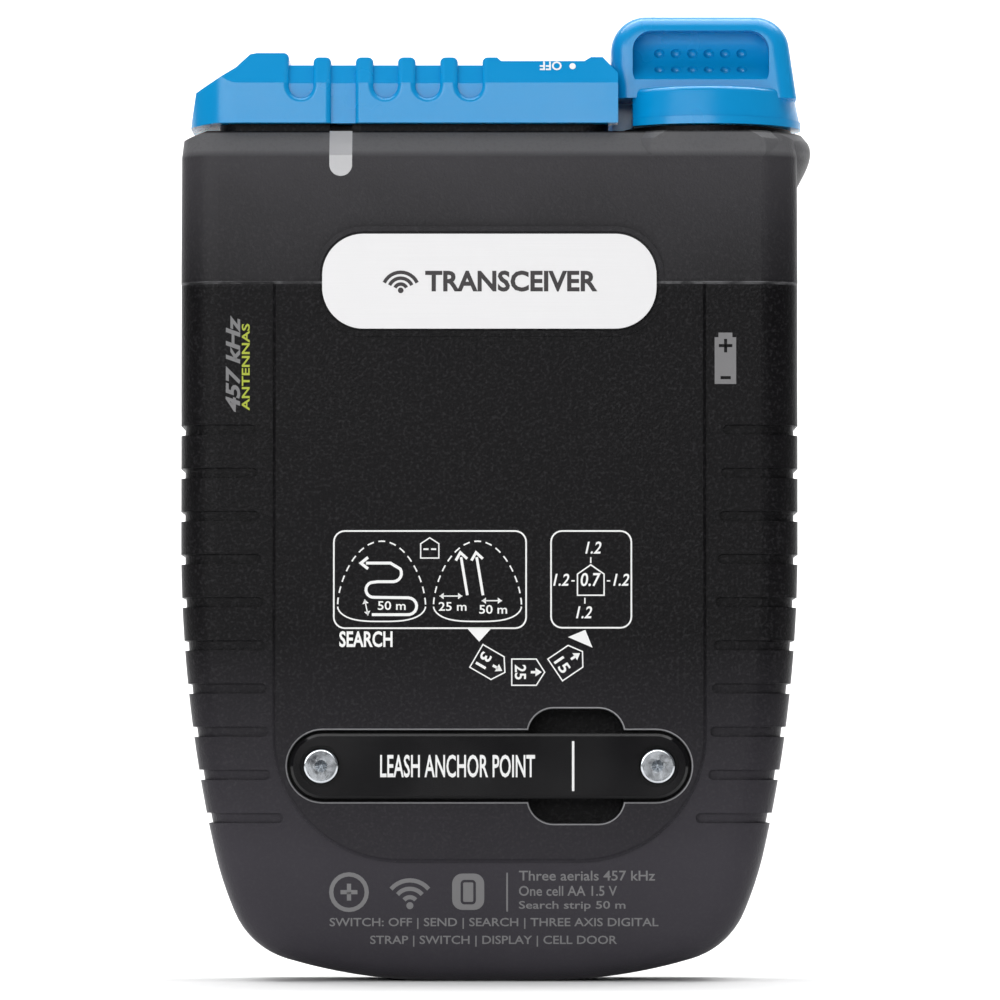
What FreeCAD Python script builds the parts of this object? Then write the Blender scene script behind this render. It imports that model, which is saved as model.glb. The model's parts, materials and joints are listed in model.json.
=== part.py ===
import FreeCAD, Part
import math
import os
import re
import Sketcher
from FreeCAD import Placement, Rotation, Vector

# Avalanche transceiver, upright: X across the case, Y from the back to the front, Z up.
# Origin: centre of the bottom of the whole object. Every sub-part is drawn about the case's own
# centre plane, which lies case_axis to one side of the origin, because the switch boss stands out.

DOC = FreeCAD.newDocument("avalanche_transceiver")
SHEET = DOC.addObject("Spreadsheet::Sheet", "Dims")

# ---------------------------------------------------------------- driving dimensions (mm, degrees)
DIMENSIONS = {
    "case_axis": -0.95,
    "half_width": 36.7,
    "case_top": 101.0,
    "back_plane": -11.1,
    "panel_plane": -11.6,
    "front_plane": 11.6,
    "parting_plane": 3.0,
    "wall": 2.0,
    "edge_round": 4.5,
    "bottom_lean": 1.8,
    "bottom_lean_height": 24.0,
    "bottom_flat": 6.0,
    "bottom_sweep": 16.5,
    "corner_radius": 9.8,
    "corner_end": 66.8,
    "haunch_radius": 42.2,
    "haunch_end": 77.4,
    "flank_radius": 167.0,
    "crease_height": 82.8,
    "crease_plane": -11.75,
    "shoulder_height": 98.0,
    "shoulder_plane": -10.5,
    "top_bevel_depth": 1.6,
    "top_bevel_side": 0.35,
    "top_corner": 3.4,
    "shoulder_drop": 1.1,
    "shoulder_width": 3.1,
    "plinth_height": 0.9,
    "plinth_left": -32.2,
    "plinth_right": 14.2,
    "plinth_half_depth": 8.0,
    "knob_axis": 26.0,
    "boss_radius": 12.55,
    "boss_front": 12.1,
    "collar_radius": 10.2,
    "collar_height": 0.6,
    "knob_sweep": 12.4,
    "groove_count": 10,
    "groove_pitch": 5.11,
    "groove_lowest": 19.35,
    "groove_height": 1.2,
    "groove_depth": 0.5,
    "groove_reach": 25.7,
    "groove_reach_step": 0.22,
    "groove_first_step": 1.3,
    "panel_half_width": 25.65,
    "panel_low": 14.2,
    "panel_corner": 15.0,
    "panel_bevel": 0.35,
    "badge_width": 39.6,
    "badge_height": 11.25,
    "badge_centre": 82.9,
    "badge_corner": 4.9,
    "badge_thickness": 0.55,
    "badge_face": -12.0,
    "badge_rim": 0.9,
    "badge_gap": 0.3,
    "bar_width": 47.0,
    "bar_height": 7.65,
    "bar_centre": 25.5,
    "bar_thickness": 2.4,
    "bar_face": -12.1,
    "bar_gap": 0.375,
    "bar_edge": 0.3,
    "counterbore_depth": 1.3,
    "counterbore_gap": 0.35,
    "screw_spacing": 39.8,
    "screw_head_radius": 2.15,
    "screw_shank_radius": 1.25,
    "screw_post_radius": 3.2,
    "star_radius": 0.72,
    "star_lobe_radius": 0.3,
    "tunnel_middle": 10.25,
    "tunnel_width": 11.3,
    "tunnel_height": 13.5,
    "tunnel_floor": -6.0,
    "tunnel_wall": 1.3,
    "lip": 0.25,
    "pipe_centre": -17.65,
    "pipe_width": 2.7,
    "pipe_low": 95.5,
    "cover_base": 101.95,
    "cover_left": -35.4,
    "cover_right": 15.3,
    "cover_half_depth": 9.7,
    "cover_facet": 106.7,
    "cover_top_plane": 109.4,
    "cover_flat_half_depth": 8.5,
    "rib_pitch": 5.03,
    "first_groove": -22.42,
    "rib_groove_width": 2.9,
    "rib_groove_depth": 0.9,
    "rib_groove_round": 0.65,
    "rib_groove_low": 104.95,
    "knob_base": 101.75,
    "knob_flange_radius": 11.4,
    "knob_flange_height": 0.9,
    "knob_skirt_top": 106.3,
    "knob_skirt_round": 0.7,
    "knob_waist_radius": 10.5,
    "knob_top": 115.15,
    "thumb_foot_depth": 6.6,
    "thumb_crown_depth": 5.3,
    "thumb_left": -11.45,
    "thumb_right": 10.75,
    "thumb_corner": 4.2,
    "thumb_lean": 8.0,
    "thumb_round": 2.2,
    "dish_low": 106.1,
    "dish_high": 113.35,
    "dish_floor": -2.6,
    "dish_radius": 6.6,
    "dish_width": 16.3,
    "dish_middle": -0.75,
    "dimple_radius": 0.62,
    "dimple_pitch": 1.97,
    "dimple_count": 6,
    "dimple_first": -5.65,
    "dimple_low": 108.75,
    "dimple_high": 110.8,
    "spindle_radius": 2.0,
    "running_gap": 0.05,
    "board_plane": 5.4,
    "board_thickness": 1.2,
    "cell_radius": 7.25,
    "cell_length": 50.5,
    "cell_x": 25.4,
    "cell_y": -0.6,
    "cell_low": 37.8,
    "door_edge": 18.3,
    "door_low": 35.0,
    "door_high": 90.0,
    "door_side": 5.0,
    "door_gap": 0.15,
    "tray_half_width": 8.1,
    "tray_wall": 0.7,
    "tray_back": -8.45,
    "tray_front": 6.7,
    "tray_low": 34.6,
    "tray_high": 90.8,
    "leaf_thickness": 0.35,
    "button_width": 14.0,
    "button_height": 8.0,
    "button_row": 49.0,
    "button_gap": 0.15,
    "button_rise": 0.75,
    "seal_groove_outside": 0.7,
    "seal_groove_inside": 1.3,
    "seal_groove_half_height": 0.4,
    "seal_gap": 0.05,
}
for row, (alias, value) in enumerate(DIMENSIONS.items(), start=1):
    SHEET.set(f"A{row}", alias)
    SHEET.set(f"B{row}", str(value))
    SHEET.setAlias(f"B{row}", alias)
DOC.recompute()

# Places of repeated parts in mm, as X or (X, Z) from the case's centre plane and the base.
COVER_SCREWS = (-26.0, 6.0)
BOARD_SCREWS = ((-31.0, 58.0), (-26.0, 34.0), (14.0, 34.0), (14.5, 56.5))
BUTTONS = {"mark_button": -14.0, "menu_button": 4.0}
DOOR_LOCK = (23.0, 62.5)
TONGUES = (40.0, 73.0)
WINDOW = {"left": -25.0, "right": 14.0, "low": 60.5, "high": 95.0}

SUBPARTS = []
MARGIN = 40.0


def dim(alias):
    """Value of a driving dimension, read from the sheet."""
    return float(getattr(SHEET, alias))


def bind(target, prop, text):
    """Bind a property to an expression in which dimensions stand by their aliases."""
    words = re.sub(r"[a-z_]{3,}", lambda m: f"Dims.{m[0]}" if m[0] in DIMENSIONS else m[0], str(text))
    target.setExpression(prop, words)


def subpart(obj, name):
    """Name a finished sub-part and list it for export."""
    obj.Label = name
    SUBPARTS.append(obj)
    return obj


def put(obj, x="0", y="0", z="0", direction="z", assembled=True):
    """Place an object; a sub-part is also moved to the case's centre plane."""
    turns = {
        "x": Rotation(Vector(0, 1, 0), 90),
        "y": Rotation(Vector(1, 0, 0), -90),
        "z": Rotation(),
    }
    obj.Placement = Placement(Vector(0, 0, 0), turns[direction])
    bind(obj, "Placement.Base.x", f"case_axis + {x}" if assembled else x)
    bind(obj, "Placement.Base.y", y)
    bind(obj, "Placement.Base.z", z)
    return obj


def cylinder(name, radius, length, x, y, z, direction="z", assembled=False):
    """A Part::Cylinder whose axis starts at (x, y, z) and points along a frame axis."""
    obj = DOC.addObject("Part::Cylinder", name)
    bind(obj, "Radius", radius)
    bind(obj, "Height", length)
    return put(obj, x, y, z, direction, assembled)


def box(name, size, corner, assembled=False):
    """A Part::Box of size (x, y, z) from its lowest corner."""
    obj = DOC.addObject("Part::Box", name)
    for prop, text in zip(("Length", "Width", "Height"), size):
        bind(obj, prop, text)
    return put(obj, *corner, assembled=assembled)


def cut(name, base, tool):
    obj = DOC.addObject("Part::Cut", name)
    obj.Base = base
    obj.Tool = tool
    return obj


def fuse(name, parts):
    obj = DOC.addObject("Part::MultiFuse", name)
    obj.Shapes = parts
    return obj


def group(name, parts):
    """Several separate solids kept as one sub-part."""
    obj = DOC.addObject("Part::Compound", name)
    obj.Links = parts
    return obj


def assemble(obj, name):
    """Move a boolean result to the case's centre plane and list it."""
    return subpart(put(obj), name)


def origin_plane(body, role):
    return next(f for f in body.Origin.OriginFeatures if f.Role == role)


def polygon_sketch(body, name, points):
    """A closed polygon on the body's XZ plane; each corner is bound to a pair of expressions."""
    sketch = body.newObject("Sketcher::SketchObject", name)
    sketch.AttachmentSupport = [(origin_plane(body, "XZ_Plane"), "")]
    sketch.MapMode = "FlatFace"
    count = len(points)
    start = [Vector(i, i * i, 0) for i in range(count)]
    for i in range(count):
        sketch.addGeometry(Part.LineSegment(start[i], start[(i + 1) % count]), False)
    for i in range(count):
        sketch.addConstraint(Sketcher.Constraint("Coincident", i, 2, (i + 1) % count, 1))
    for i, (across, up) in enumerate(points):
        sketch.addConstraint(Sketcher.Constraint("DistanceX", i, 1, start[i].x))
        bind(sketch, f"Constraints[{sketch.ConstraintCount - 1}]", across)
        sketch.addConstraint(Sketcher.Constraint("DistanceY", i, 1, start[i].y))
        bind(sketch, f"Constraints[{sketch.ConstraintCount - 1}]", up)
    return sketch


def rectangle(width, height, middle_x="0", middle_z="0"):
    """Corners of a rectangle as expressions."""
    return [
        (f"{middle_x} - ({width}) / 2", f"{middle_z} - ({height}) / 2"),
        (f"{middle_x} + ({width}) / 2", f"{middle_z} - ({height}) / 2"),
        (f"{middle_x} + ({width}) / 2", f"{middle_z} + ({height}) / 2"),
        (f"{middle_x} - ({width}) / 2", f"{middle_z} + ({height}) / 2"),
    ]


def edges_along(shape, axis):
    """Names of the straight edges parallel to an axis."""
    names = []
    for number, edge in enumerate(shape.Edges, start=1):
        if edge.Curve.TypeId != "Part::GeomLine":
            continue
        if abs(edge.tangentAt(edge.FirstParameter).dot(axis)) > 0.999:
            names.append(f"Edge{number}")
    return names


def stadium_sketch(body, name, width, height, middle_z):
    """A slot outline on the body's XZ plane: two half circles joined by tangent lines."""
    sketch = body.newObject("Sketcher::SketchObject", name)
    sketch.AttachmentSupport = [(origin_plane(body, "XZ_Plane"), "")]
    sketch.MapMode = "FlatFace"
    up, quarter = Vector(0, 0, 1), math.pi / 2
    end, level, radius = dim(width) / 2 - dim(height) / 2, dim(middle_z), dim(height) / 2
    right, left = Vector(end, level, 0), Vector(-end, level, 0)
    drop = Vector(0, radius, 0)
    sketch.addGeometry(Part.LineSegment(left - drop, right - drop), False)
    sketch.addGeometry(Part.ArcOfCircle(Part.Circle(right, up, radius), -quarter, quarter), False)
    sketch.addGeometry(Part.LineSegment(right + drop, left + drop), False)
    sketch.addGeometry(Part.ArcOfCircle(Part.Circle(left, up, radius), quarter, 3 * quarter), False)
    for first, second in ((0, 1), (1, 2), (2, 3), (3, 0)):
        sketch.addConstraint(Sketcher.Constraint("Tangent", first, 2, second, 1))
    sketch.addConstraint(Sketcher.Constraint("Horizontal", 0))
    places = (
        ("DistanceX", 1, end, f"({width} - {height}) / 2"),
        ("DistanceY", 1, level, middle_z),
        ("DistanceX", 3, -end, f"({height} - {width}) / 2"),
    )
    for kind, arc, value, text in places:
        sketch.addConstraint(Sketcher.Constraint(kind, arc, 3, value))
        bind(sketch, f"Constraints[{sketch.ConstraintCount - 1}]", text)
    sketch.addConstraint(Sketcher.Constraint("Radius", 1, radius))
    bind(sketch, f"Constraints[{sketch.ConstraintCount - 1}]", f"{height} / 2")
    return sketch


def slab(name, outline, front, thickness, corner=None):
    """A PartDesign::Body: an XZ outline from y = front back by thickness, its corners rounded."""
    body = DOC.addObject("PartDesign::Body", name)
    if isinstance(outline, tuple):
        sketch = stadium_sketch(body, f"{name}_outline", *outline)
    else:
        sketch = polygon_sketch(body, f"{name}_outline", outline)
    pad = body.newObject("PartDesign::Pad", f"{name}_pad")
    pad.Profile = sketch
    bind(pad, "Length", thickness)
    DOC.recompute()
    if corner:
        fillet = body.newObject("PartDesign::Fillet", f"{name}_corners")
        fillet.Base = (pad, edges_along(pad.Shape, Vector(0, 1, 0)))
        bind(fillet, "Radius", corner)
    put(body, "0", front, "0")
    return body


def bore(body, name, centres, radius, depth=None, from_face=False):
    """Round holes through a slab body along Y, or to a depth from its outer face."""
    sketch = body.newObject("Sketcher::SketchObject", name)
    sketch.AttachmentSupport = [(origin_plane(body, "XZ_Plane"), "")]
    sketch.MapMode = "FlatFace"
    for x, z in centres:
        ring = sketch.addGeometry(Part.Circle(Vector(1, 1, 0), Vector(0, 0, 1), 1.0), False)
        for kind, text in (("DistanceX", x), ("DistanceY", z)):
            sketch.addConstraint(Sketcher.Constraint(kind, ring, 3, 1.0))
            bind(sketch, f"Constraints[{sketch.ConstraintCount - 1}]", text)
        sketch.addConstraint(Sketcher.Constraint("Radius", ring, 1.0))
        bind(sketch, f"Constraints[{sketch.ConstraintCount - 1}]", radius)
    if from_face:
        bind(sketch, "AttachmentOffset.Base.z", from_face)
    pocket = body.newObject("PartDesign::Pocket", f"{name}_pocket")
    pocket.Profile = sketch
    if depth:
        bind(pocket, "Length", depth)
    else:
        pocket.Type = 1
        pocket.Midplane = True
    DOC.recompute()
    return pocket


# ------------------------------------------------------------------ shapes used by the case shells
def tangent_edges(start, heading, steps):
    """Arcs and lines end to end in XZ. A step is (radius, turn in degrees) or (None, length)."""
    edges = []
    x, z = start
    angle = math.radians(heading)
    for radius, amount in steps:
        if radius is None:
            x2, z2 = x + amount * math.cos(angle), z + amount * math.sin(angle)
            edges.append(Part.LineSegment(Vector(x, 0, z), Vector(x2, 0, z2)).toShape())
        else:
            cx, cz = x - radius * math.sin(angle), z + radius * math.cos(angle)
            points = [Vector(x, 0, z)]
            for part in (0.5, 1.0):
                a = angle + math.radians(amount) * part
                points.append(Vector(cx + radius * math.sin(a), 0, cz - radius * math.cos(a)))
            edges.append(Part.Arc(*points).toShape())
            angle += math.radians(amount)
            x2, z2 = points[2].x, points[2].z
        x, z = x2, z2
    return edges, (x, z)


def mirrored(edges):
    return [e.mirror(Vector(0, 0, 0), Vector(1, 0, 0)) for e in edges]


def case_outline(inset):
    """Face outline of the case in XZ, drawn in from the outside by inset."""
    base, waist, knee = dim("bottom_sweep"), dim("corner_end"), dim("haunch_end")
    corner, haunch, flank = dim("corner_radius"), dim("haunch_radius"), dim("flank_radius")
    flat, top = dim("bottom_flat"), dim("case_top") - inset
    sine = {angle: math.sin(math.radians(angle)) for angle in (base, waist, knee)}
    reach = dim("half_width") - flat
    reach -= corner * (sine[waist] - sine[base])
    reach -= haunch * (sine[knee] - sine[waist])
    reach -= flank * (1 - sine[knee])
    steps = [
        (None, flat),
        (reach / sine[base] - inset, base),
        (corner - inset, waist - base),
        (haunch - inset, knee - waist),
        (flank - inset, 90 - knee),
    ]
    right, (x, z) = tangent_edges((0, inset), 0, steps)
    slope = math.atan(dim("shoulder_drop") / dim("shoulder_width"))
    side_top = dim("case_top") - dim("shoulder_drop") - inset * (1 - math.sin(slope)) / math.cos(slope)
    lid = dim("half_width") - dim("shoulder_width") - inset * math.tan(slope / 2)
    corners = [Vector(x, 0, z), Vector(x, 0, side_top), Vector(lid, 0, top), Vector(-lid, 0, top)]
    upper = [Part.LineSegment(start, end).toShape() for start, end in zip(corners, corners[1:])]
    return Part.Wire(Part.__sortEdges__(right + mirrored(right + upper[:2]) + upper))


def prism(wire, low, high):
    """Solid from an XZ wire, between two Y planes."""
    face = Part.Face(wire)
    face.translate(Vector(0, low, 0))
    return face.extrude(Vector(0, high - low, 0))


def block(x0, x1, y0, y1, z0, z1):
    return Part.makeBox(x1 - x0, y1 - y0, z1 - z0, Vector(x0, y0, z0))


def rod(radius, start, end):
    start, end = Vector(*start), Vector(*end)
    return Part.makeCylinder(radius, (end - start).Length, start, end - start)


def rounded(width, height, radius, middle_x, middle_z, low, high):
    """Rounded rectangle in XZ as a solid between two Y planes."""
    solid = block(
        middle_x - width / 2, middle_x + width / 2, low, high, middle_z - height / 2, middle_z + height / 2
    )
    radius = min(radius, height / 2 - 0.001, width / 2 - 0.001)
    return solid.makeFillet(radius, [solid.Edges[i] for i in along_y(solid)])


def along_y(solid):
    return [int(name[4:]) - 1 for name in edges_along(solid, Vector(0, 1, 0))]


def upright_edges(solid, keep=None):
    """Vertical edges of a solid, or those whose bounding boxes pass a test."""
    upright = [e for e in solid.Edges if abs(e.tangentAt(e.FirstParameter).z) > 0.9]
    return [e for e in upright if keep is None or keep(e.BoundBox)]


def between_planes(low, high):
    """All the space round the object between two Y planes."""
    return block(-MARGIN, MARGIN, low, high, -1, MARGIN * 3)


def lower_case(inset, back):
    """The case up to just above the crease, rounded along its back and front edges."""
    lean, rise = dim("bottom_lean"), dim("bottom_lean_height")
    front = dim("front_plane") - inset
    back += inset
    high = dim("crease_height") + 1.0
    solid = prism(case_outline(inset), back, front)
    lean_radius = (rise**2 + lean**2) / (2 * lean)
    turn = math.asin(rise / lean_radius)
    low_z = rise - lean_radius * math.sin(turn)
    half_z = rise - lean_radius * math.sin(turn / 2)
    half_y = lean_radius * (1 - math.cos(turn / 2))
    edges = [
        Part.Arc(
            Vector(0, back + lean, low_z), Vector(0, back + half_y, half_z), Vector(0, back, rise)
        ).toShape(),
        Part.LineSegment(Vector(0, back, rise), Vector(0, back, high)).toShape(),
        Part.LineSegment(Vector(0, back, high), Vector(0, front, high)).toShape(),
        Part.LineSegment(Vector(0, front, high), Vector(0, front, rise)).toShape(),
        Part.Arc(
            Vector(0, front, rise), Vector(0, front - half_y, half_z), Vector(0, front - lean, low_z)
        ).toShape(),
        Part.LineSegment(Vector(0, front - lean, low_z), Vector(0, back + lean, low_z)).toShape(),
    ]
    side = Part.Face(Part.Wire(Part.__sortEdges__(edges)))
    side.translate(Vector(-MARGIN, 0, 0))
    solid = solid.common(side.extrude(Vector(2 * MARGIN, 0, 0)))
    rims = []
    for edge in solid.Edges:
        middle = edge.valueAt((edge.FirstParameter + edge.LastParameter) / 2)
        run = edge.tangentAt((edge.FirstParameter + edge.LastParameter) / 2)
        across_the_back = abs(run.x) > 0.99 and middle.z > rise - 0.01
        on_top = middle.z > high - 0.01
        if abs(run.y) < 0.5 and not across_the_back and not on_top:
            rims.append(edge)
    return solid.makeFillet(dim("edge_round") - inset, rims)


def upper_case(inset):
    """The case above the crease: its back leans in, and its top edge is bevelled all round."""
    half = dim("half_width") - inset
    top = dim("case_top") - inset
    low = dim("crease_height")
    shoulder = dim("shoulder_height")
    lean = (dim("shoulder_plane") - dim("crease_plane")) / (shoulder - low)
    front = dim("front_plane") - inset
    back = dim("crease_plane") + inset
    points = [
        Vector(-half, back, low),
        Vector(-half, back + lean * (top - low), top),
        Vector(-half, front, top),
        Vector(-half, front, low),
    ]
    solid = Part.Face(Part.makePolygon(points + points[:1])).extrude(Vector(2 * half, 0, 0))
    solid = solid.makeFillet(dim("edge_round") - inset, upright_edges(solid))
    rim = top_bevel(half, back + lean * (shoulder - low), front, top, inset)
    return solid.common(rim).common(prism(case_outline(inset), -MARGIN, MARGIN))


def top_bevel(half, back, front, top, inset):
    """Everything below the shoulder, and above it a tapering block with round corners."""
    shoulder = dim("shoulder_height")
    rise = dim("case_top") - shoulder
    sections = []
    for z in (shoulder - 1, top):
        step = (z - shoulder) / rise
        across, deep = dim("top_bevel_side") * step, dim("top_bevel_depth") * step
        radius = dim("edge_round") - inset - (dim("edge_round") - dim("top_corner")) * step
        stock = block(-half + across, half - across, back + deep, front - deep, z, z + 1)
        stock = stock.makeFillet(radius, upright_edges(stock))
        floor = next(f for f in stock.Faces if f.BoundBox.ZMax < z + 0.01)
        sections.append(floor.OuterWire)
    below = block(-MARGIN, MARGIN, -MARGIN, MARGIN, dim("crease_height") - 1, shoulder - 1)
    return Part.makeLoft(sections, True, True).fuse(below)


def switch_boss():
    """Round boss that flares out of the case under the switch, with a low collar on top."""
    top, radius = dim("case_top"), dim("boss_radius")
    low = top - 11
    flare = Part.BSplineCurve()
    flare.interpolate([
        Vector(radius - 3.6, 0, low),
        Vector(radius - 2.3, 0, top - 7.4),
        Vector(radius - 0.8, 0, top - 4.6),
        Vector(radius, 0, top - 1.9),
        Vector(radius - 0.25, 0, top - 0.9),
    ])
    corners = [flare.EndPoint, Vector(radius - 1.0, 0, top), Vector(0, 0, top), Vector(0, 0, low),
               flare.StartPoint]
    edges = [flare.toShape()]
    edges += [Part.LineSegment(start, end).toShape() for start, end in zip(corners, corners[1:])]
    face = Part.Face(Part.Wire(Part.__sortEdges__(edges)))
    solid = face.revolve(Vector(0, 0, 0), Vector(0, 0, 1), 360)
    solid.translate(Vector(dim("knob_axis"), 0, 0))
    solid = solid.common(between_planes(dim("shoulder_plane"), dim("boss_front")))
    axis = dim("knob_axis")
    collar = rod(dim("collar_radius"), (axis, 0, top - 0.5), (axis, 0, top + dim("collar_height")))
    return solid.fuse(collar)


def grip_grooves():
    """Slots down both sides, each a shallow band with rounded inner ends."""
    height, reach = dim("groove_height"), dim("groove_reach")
    slots = []
    for i in range(int(dim("groove_count"))):
        z = dim("groove_lowest") + i * dim("groove_pitch")
        inner = reach + i * dim("groove_reach_step")
        if i == 0:
            inner -= dim("groove_first_step")
        for side in (1, -1):
            x = side * (inner + MARGIN / 2)
            slots.append(rounded(MARGIN, height, height / 2, x, z, -MARGIN, MARGIN))
    return Part.makeCompound(slots)


def panel_solid():
    """Raised matte panel in the middle of the back."""
    width, high, low = 2 * dim("panel_half_width"), dim("crease_height"), dim("panel_low")
    depth = dim("panel_plane")
    solid = block(-width / 2, width / 2, depth, -8.0, low, high)
    corners = [e for e in solid.Edges if e.BoundBox.ZMax < low + 0.01 and abs(e.tangentAt(0).y) > 0.9]
    solid = solid.makeFillet(dim("panel_corner"), corners)
    rim = [
        e for e in solid.Edges
        if e.BoundBox.YMax < depth + 0.01 and e.BoundBox.ZMin < high - 0.01
    ]
    return solid.makeChamfer(dim("panel_bevel"), rim)


def outer_case():
    shell = lower_case(0.0, dim("back_plane")).fuse([upper_case(0.0), switch_boss()])
    floor = lower_case(dim("groove_depth"), dim("back_plane"))
    return shell.cut(grip_grooves().cut(floor)).fuse(panel_solid())


def case_cavity():
    inset = dim("wall")
    return lower_case(inset, dim("back_plane")).fuse(upper_case(inset))


# ------------------------------------------------------------------------------ sub-parts: the case
def feature(name, shape):
    """A sub-part whose shape comes from Part's own functions."""
    obj = DOC.addObject("Part::Feature", name)
    obj.Shape = shape
    return assemble(obj, name)


def stadium(width, height, middle_z, low, high):
    return rounded(width, height, height / 2, 0, middle_z, low, high)


def seal_ring(gap):
    """Ring that follows the joint between the two shells, drawn in by a gap from its groove."""
    middle, half_height = dim("parting_plane"), dim("seal_groove_half_height") - gap
    low, high = middle - half_height, middle + half_height
    outside = prism(case_outline(dim("seal_groove_outside") + gap), low, high)
    return outside.cut(prism(case_outline(dim("seal_groove_inside") - gap), low - 1, high + 1))


def plinth():
    """Low black step on the case's top edge, which the blue cover stands on."""
    half, top = dim("plinth_half_depth"), dim("case_top")
    left, right = dim("plinth_left"), dim("plinth_right")
    solid = block(left, right, -half, half, top - 0.5, top + dim("plinth_height"))
    return solid.makeFillet(3.0, upright_edges(solid))


def light_pipe_blade(gap):
    """Flat blade of the light pipe, with a round lower end, running up through the top edge."""
    width = dim("pipe_width") + 2 * gap
    low, high = dim("pipe_low") - gap, dim("case_top") + 5
    return rounded(width, high - low, width / 2, dim("pipe_centre"), (low + high) / 2, -MARGIN, -6.0)


def door_region(gap):
    """Block that holds the battery door; gap shrinks it on every side that meets the case."""
    return block(
        dim("door_edge") + gap, MARGIN, dim("door_side") + gap, MARGIN,
        dim("door_low") + gap, dim("door_high") - gap,
    )


def screw_places():
    half = dim("screw_spacing") / 2
    return [(-half, dim("bar_centre")), (half, dim("bar_centre"))]


def recess_lip(outline):
    """Flare round the mouth of a recess in the panel; outline(grow, high) gives the recess."""
    face, depth = dim("panel_plane"), dim("lip")
    mouths = []
    for grow, high in ((depth + 0.05, face - 0.05), (0, face + depth)):
        solid = outline(grow, high)
        mouths.append(next(f for f in solid.Faces if f.BoundBox.YMin > high - 0.01).OuterWire)
    return Part.makeLoft(mouths, True, True)


def bar_recess(grow, high):
    reach = 2 * (dim("bar_gap") + grow)
    return stadium(dim("bar_width") + reach, dim("bar_height") + reach, dim("bar_centre"), -MARGIN, high)


def tunnel_well(grow, high):
    return rounded(
        dim("tunnel_width") + 2 * grow, dim("tunnel_height") + 2 * grow, 3.0 + grow,
        dim("tunnel_middle"), dim("bar_centre"), -MARGIN, high,
    )


def rear_cover_shape(outer, cavity):
    wall_inside = dim("back_plane") + dim("wall")
    parting, floor = dim("parting_plane"), dim("tunnel_floor")
    shell = outer.cut(cavity)
    rim = dim("badge_rim")
    island = rounded(
        dim("badge_width") + 2 * rim, dim("badge_height") + 2 * rim, dim("badge_corner") + rim,
        0, dim("badge_centre"), dim("crease_plane"), wall_inside + 0.6,
    )
    middle, width, height = dim("tunnel_middle"), dim("tunnel_width"), dim("tunnel_height")
    bar_z = dim("bar_centre")
    additions = [island]
    additions.append(stadium(dim("bar_width") + 4, dim("bar_height") + 3, bar_z, wall_inside - 0.5, -8.2))
    well_wall = dim("tunnel_wall")
    additions.append(
        block(
            middle - width / 2 - well_wall, middle + width / 2 + well_wall,
            wall_inside - 0.5, floor + well_wall,
            bar_z - height / 2 - well_wall, bar_z + height / 2 + well_wall,
        )
    )
    for x, z in screw_places():
        additions.append(rod(dim("screw_post_radius"), (x, wall_inside - 0.5, z), (x, parting, z)))
    axis, top = dim("knob_axis"), dim("case_top")
    bearing = rod(4.6, (axis, 0, top - 4.4), (axis, 0, top - 1.5))
    additions.append(bearing.cut(between_planes(parting, MARGIN)))
    shell = shell.fuse(additions)
    badge_gap = dim("badge_gap")
    cuts = [
        rounded(
            dim("badge_width") + 2 * badge_gap, dim("badge_height") + 2 * badge_gap,
            dim("badge_corner") + badge_gap, 0, dim("badge_centre"), -MARGIN,
            dim("badge_face") + dim("badge_thickness"),
        ),
        bar_recess(0, dim("bar_face") + dim("bar_thickness")),
        recess_lip(bar_recess),
        tunnel_well(0, floor),
        recess_lip(tunnel_well),
        light_pipe_blade(0.0),
        rod(dim("spindle_radius") + dim("running_gap"), (axis, 0, top - 5), (axis, 0, top + 1)),
        rod(2.9, (axis, 0, top - 2.3), (axis, 0, top - 1.3)),
        between_planes(parting, MARGIN),
        seal_ring(0.0),
    ]
    for x, z in screw_places():
        cuts.append(rod(dim("screw_shank_radius") + 0.1, (x, -MARGIN, z), (x, MARGIN, z)))
    for x in COVER_SCREWS:
        cuts.append(rod(1.15, (x, 0, top - 3), (x, 0, top + 2)))
    for tool in cuts:
        shell = shell.cut(tool)
    return shell


def window_opening(shrink, low, high):
    """Rounded opening of the display window, smaller by shrink on each side."""
    width = WINDOW["right"] - WINDOW["left"] - 2 * shrink
    height = WINDOW["high"] - WINDOW["low"] - 2 * shrink
    middle_x = (WINDOW["right"] + WINDOW["left"]) / 2
    middle_z = (WINDOW["high"] + WINDOW["low"]) / 2
    return rounded(width, height, 2.6 - 0.6 * shrink, middle_x, middle_z, low, high)


def front_cover_shape(outer, cavity):
    parting, front = dim("parting_plane"), dim("front_plane")
    inside = front - dim("wall")
    shell = outer.cut(cavity)
    post = dim("screw_post_radius")
    additions = [rod(post, (x, parting, z), (x, inside + 0.5, z)) for x, z in screw_places()]
    board_front = dim("board_plane") + dim("board_thickness")
    additions += [rod(2.2, (x, board_front, z), (x, inside + 0.5, z)) for x, z in BOARD_SCREWS]
    shell = shell.fuse(additions)
    cuts = [
        between_planes(-MARGIN, parting),
        seal_ring(0.0),
        window_opening(0.0, front - 1.3, MARGIN),
        window_opening(1.8, 0.0, MARGIN).cut(between_planes(-1, inside - 0.5)),
        door_region(0.0).cut(between_planes(-1, dim("door_side"))),
    ]
    for x in BUTTONS.values():
        gap = dim("button_gap")
        cuts.append(
            rounded(
                dim("button_width") + 2 * gap, dim("button_height") + 2 * gap, 2.5 + gap,
                x, dim("button_row"), inside - 1, MARGIN,
            )
        )
    for x, z in screw_places():
        cuts.append(rod(1.9, (x, parting, z), (x, parting + 5.0, z)))
    for x, z in BOARD_SCREWS:
        cuts.append(rod(0.8, (x, board_front - 1, z), (x, inside, z)))
    for tool in cuts:
        shell = shell.cut(tool)
    return shell


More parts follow.
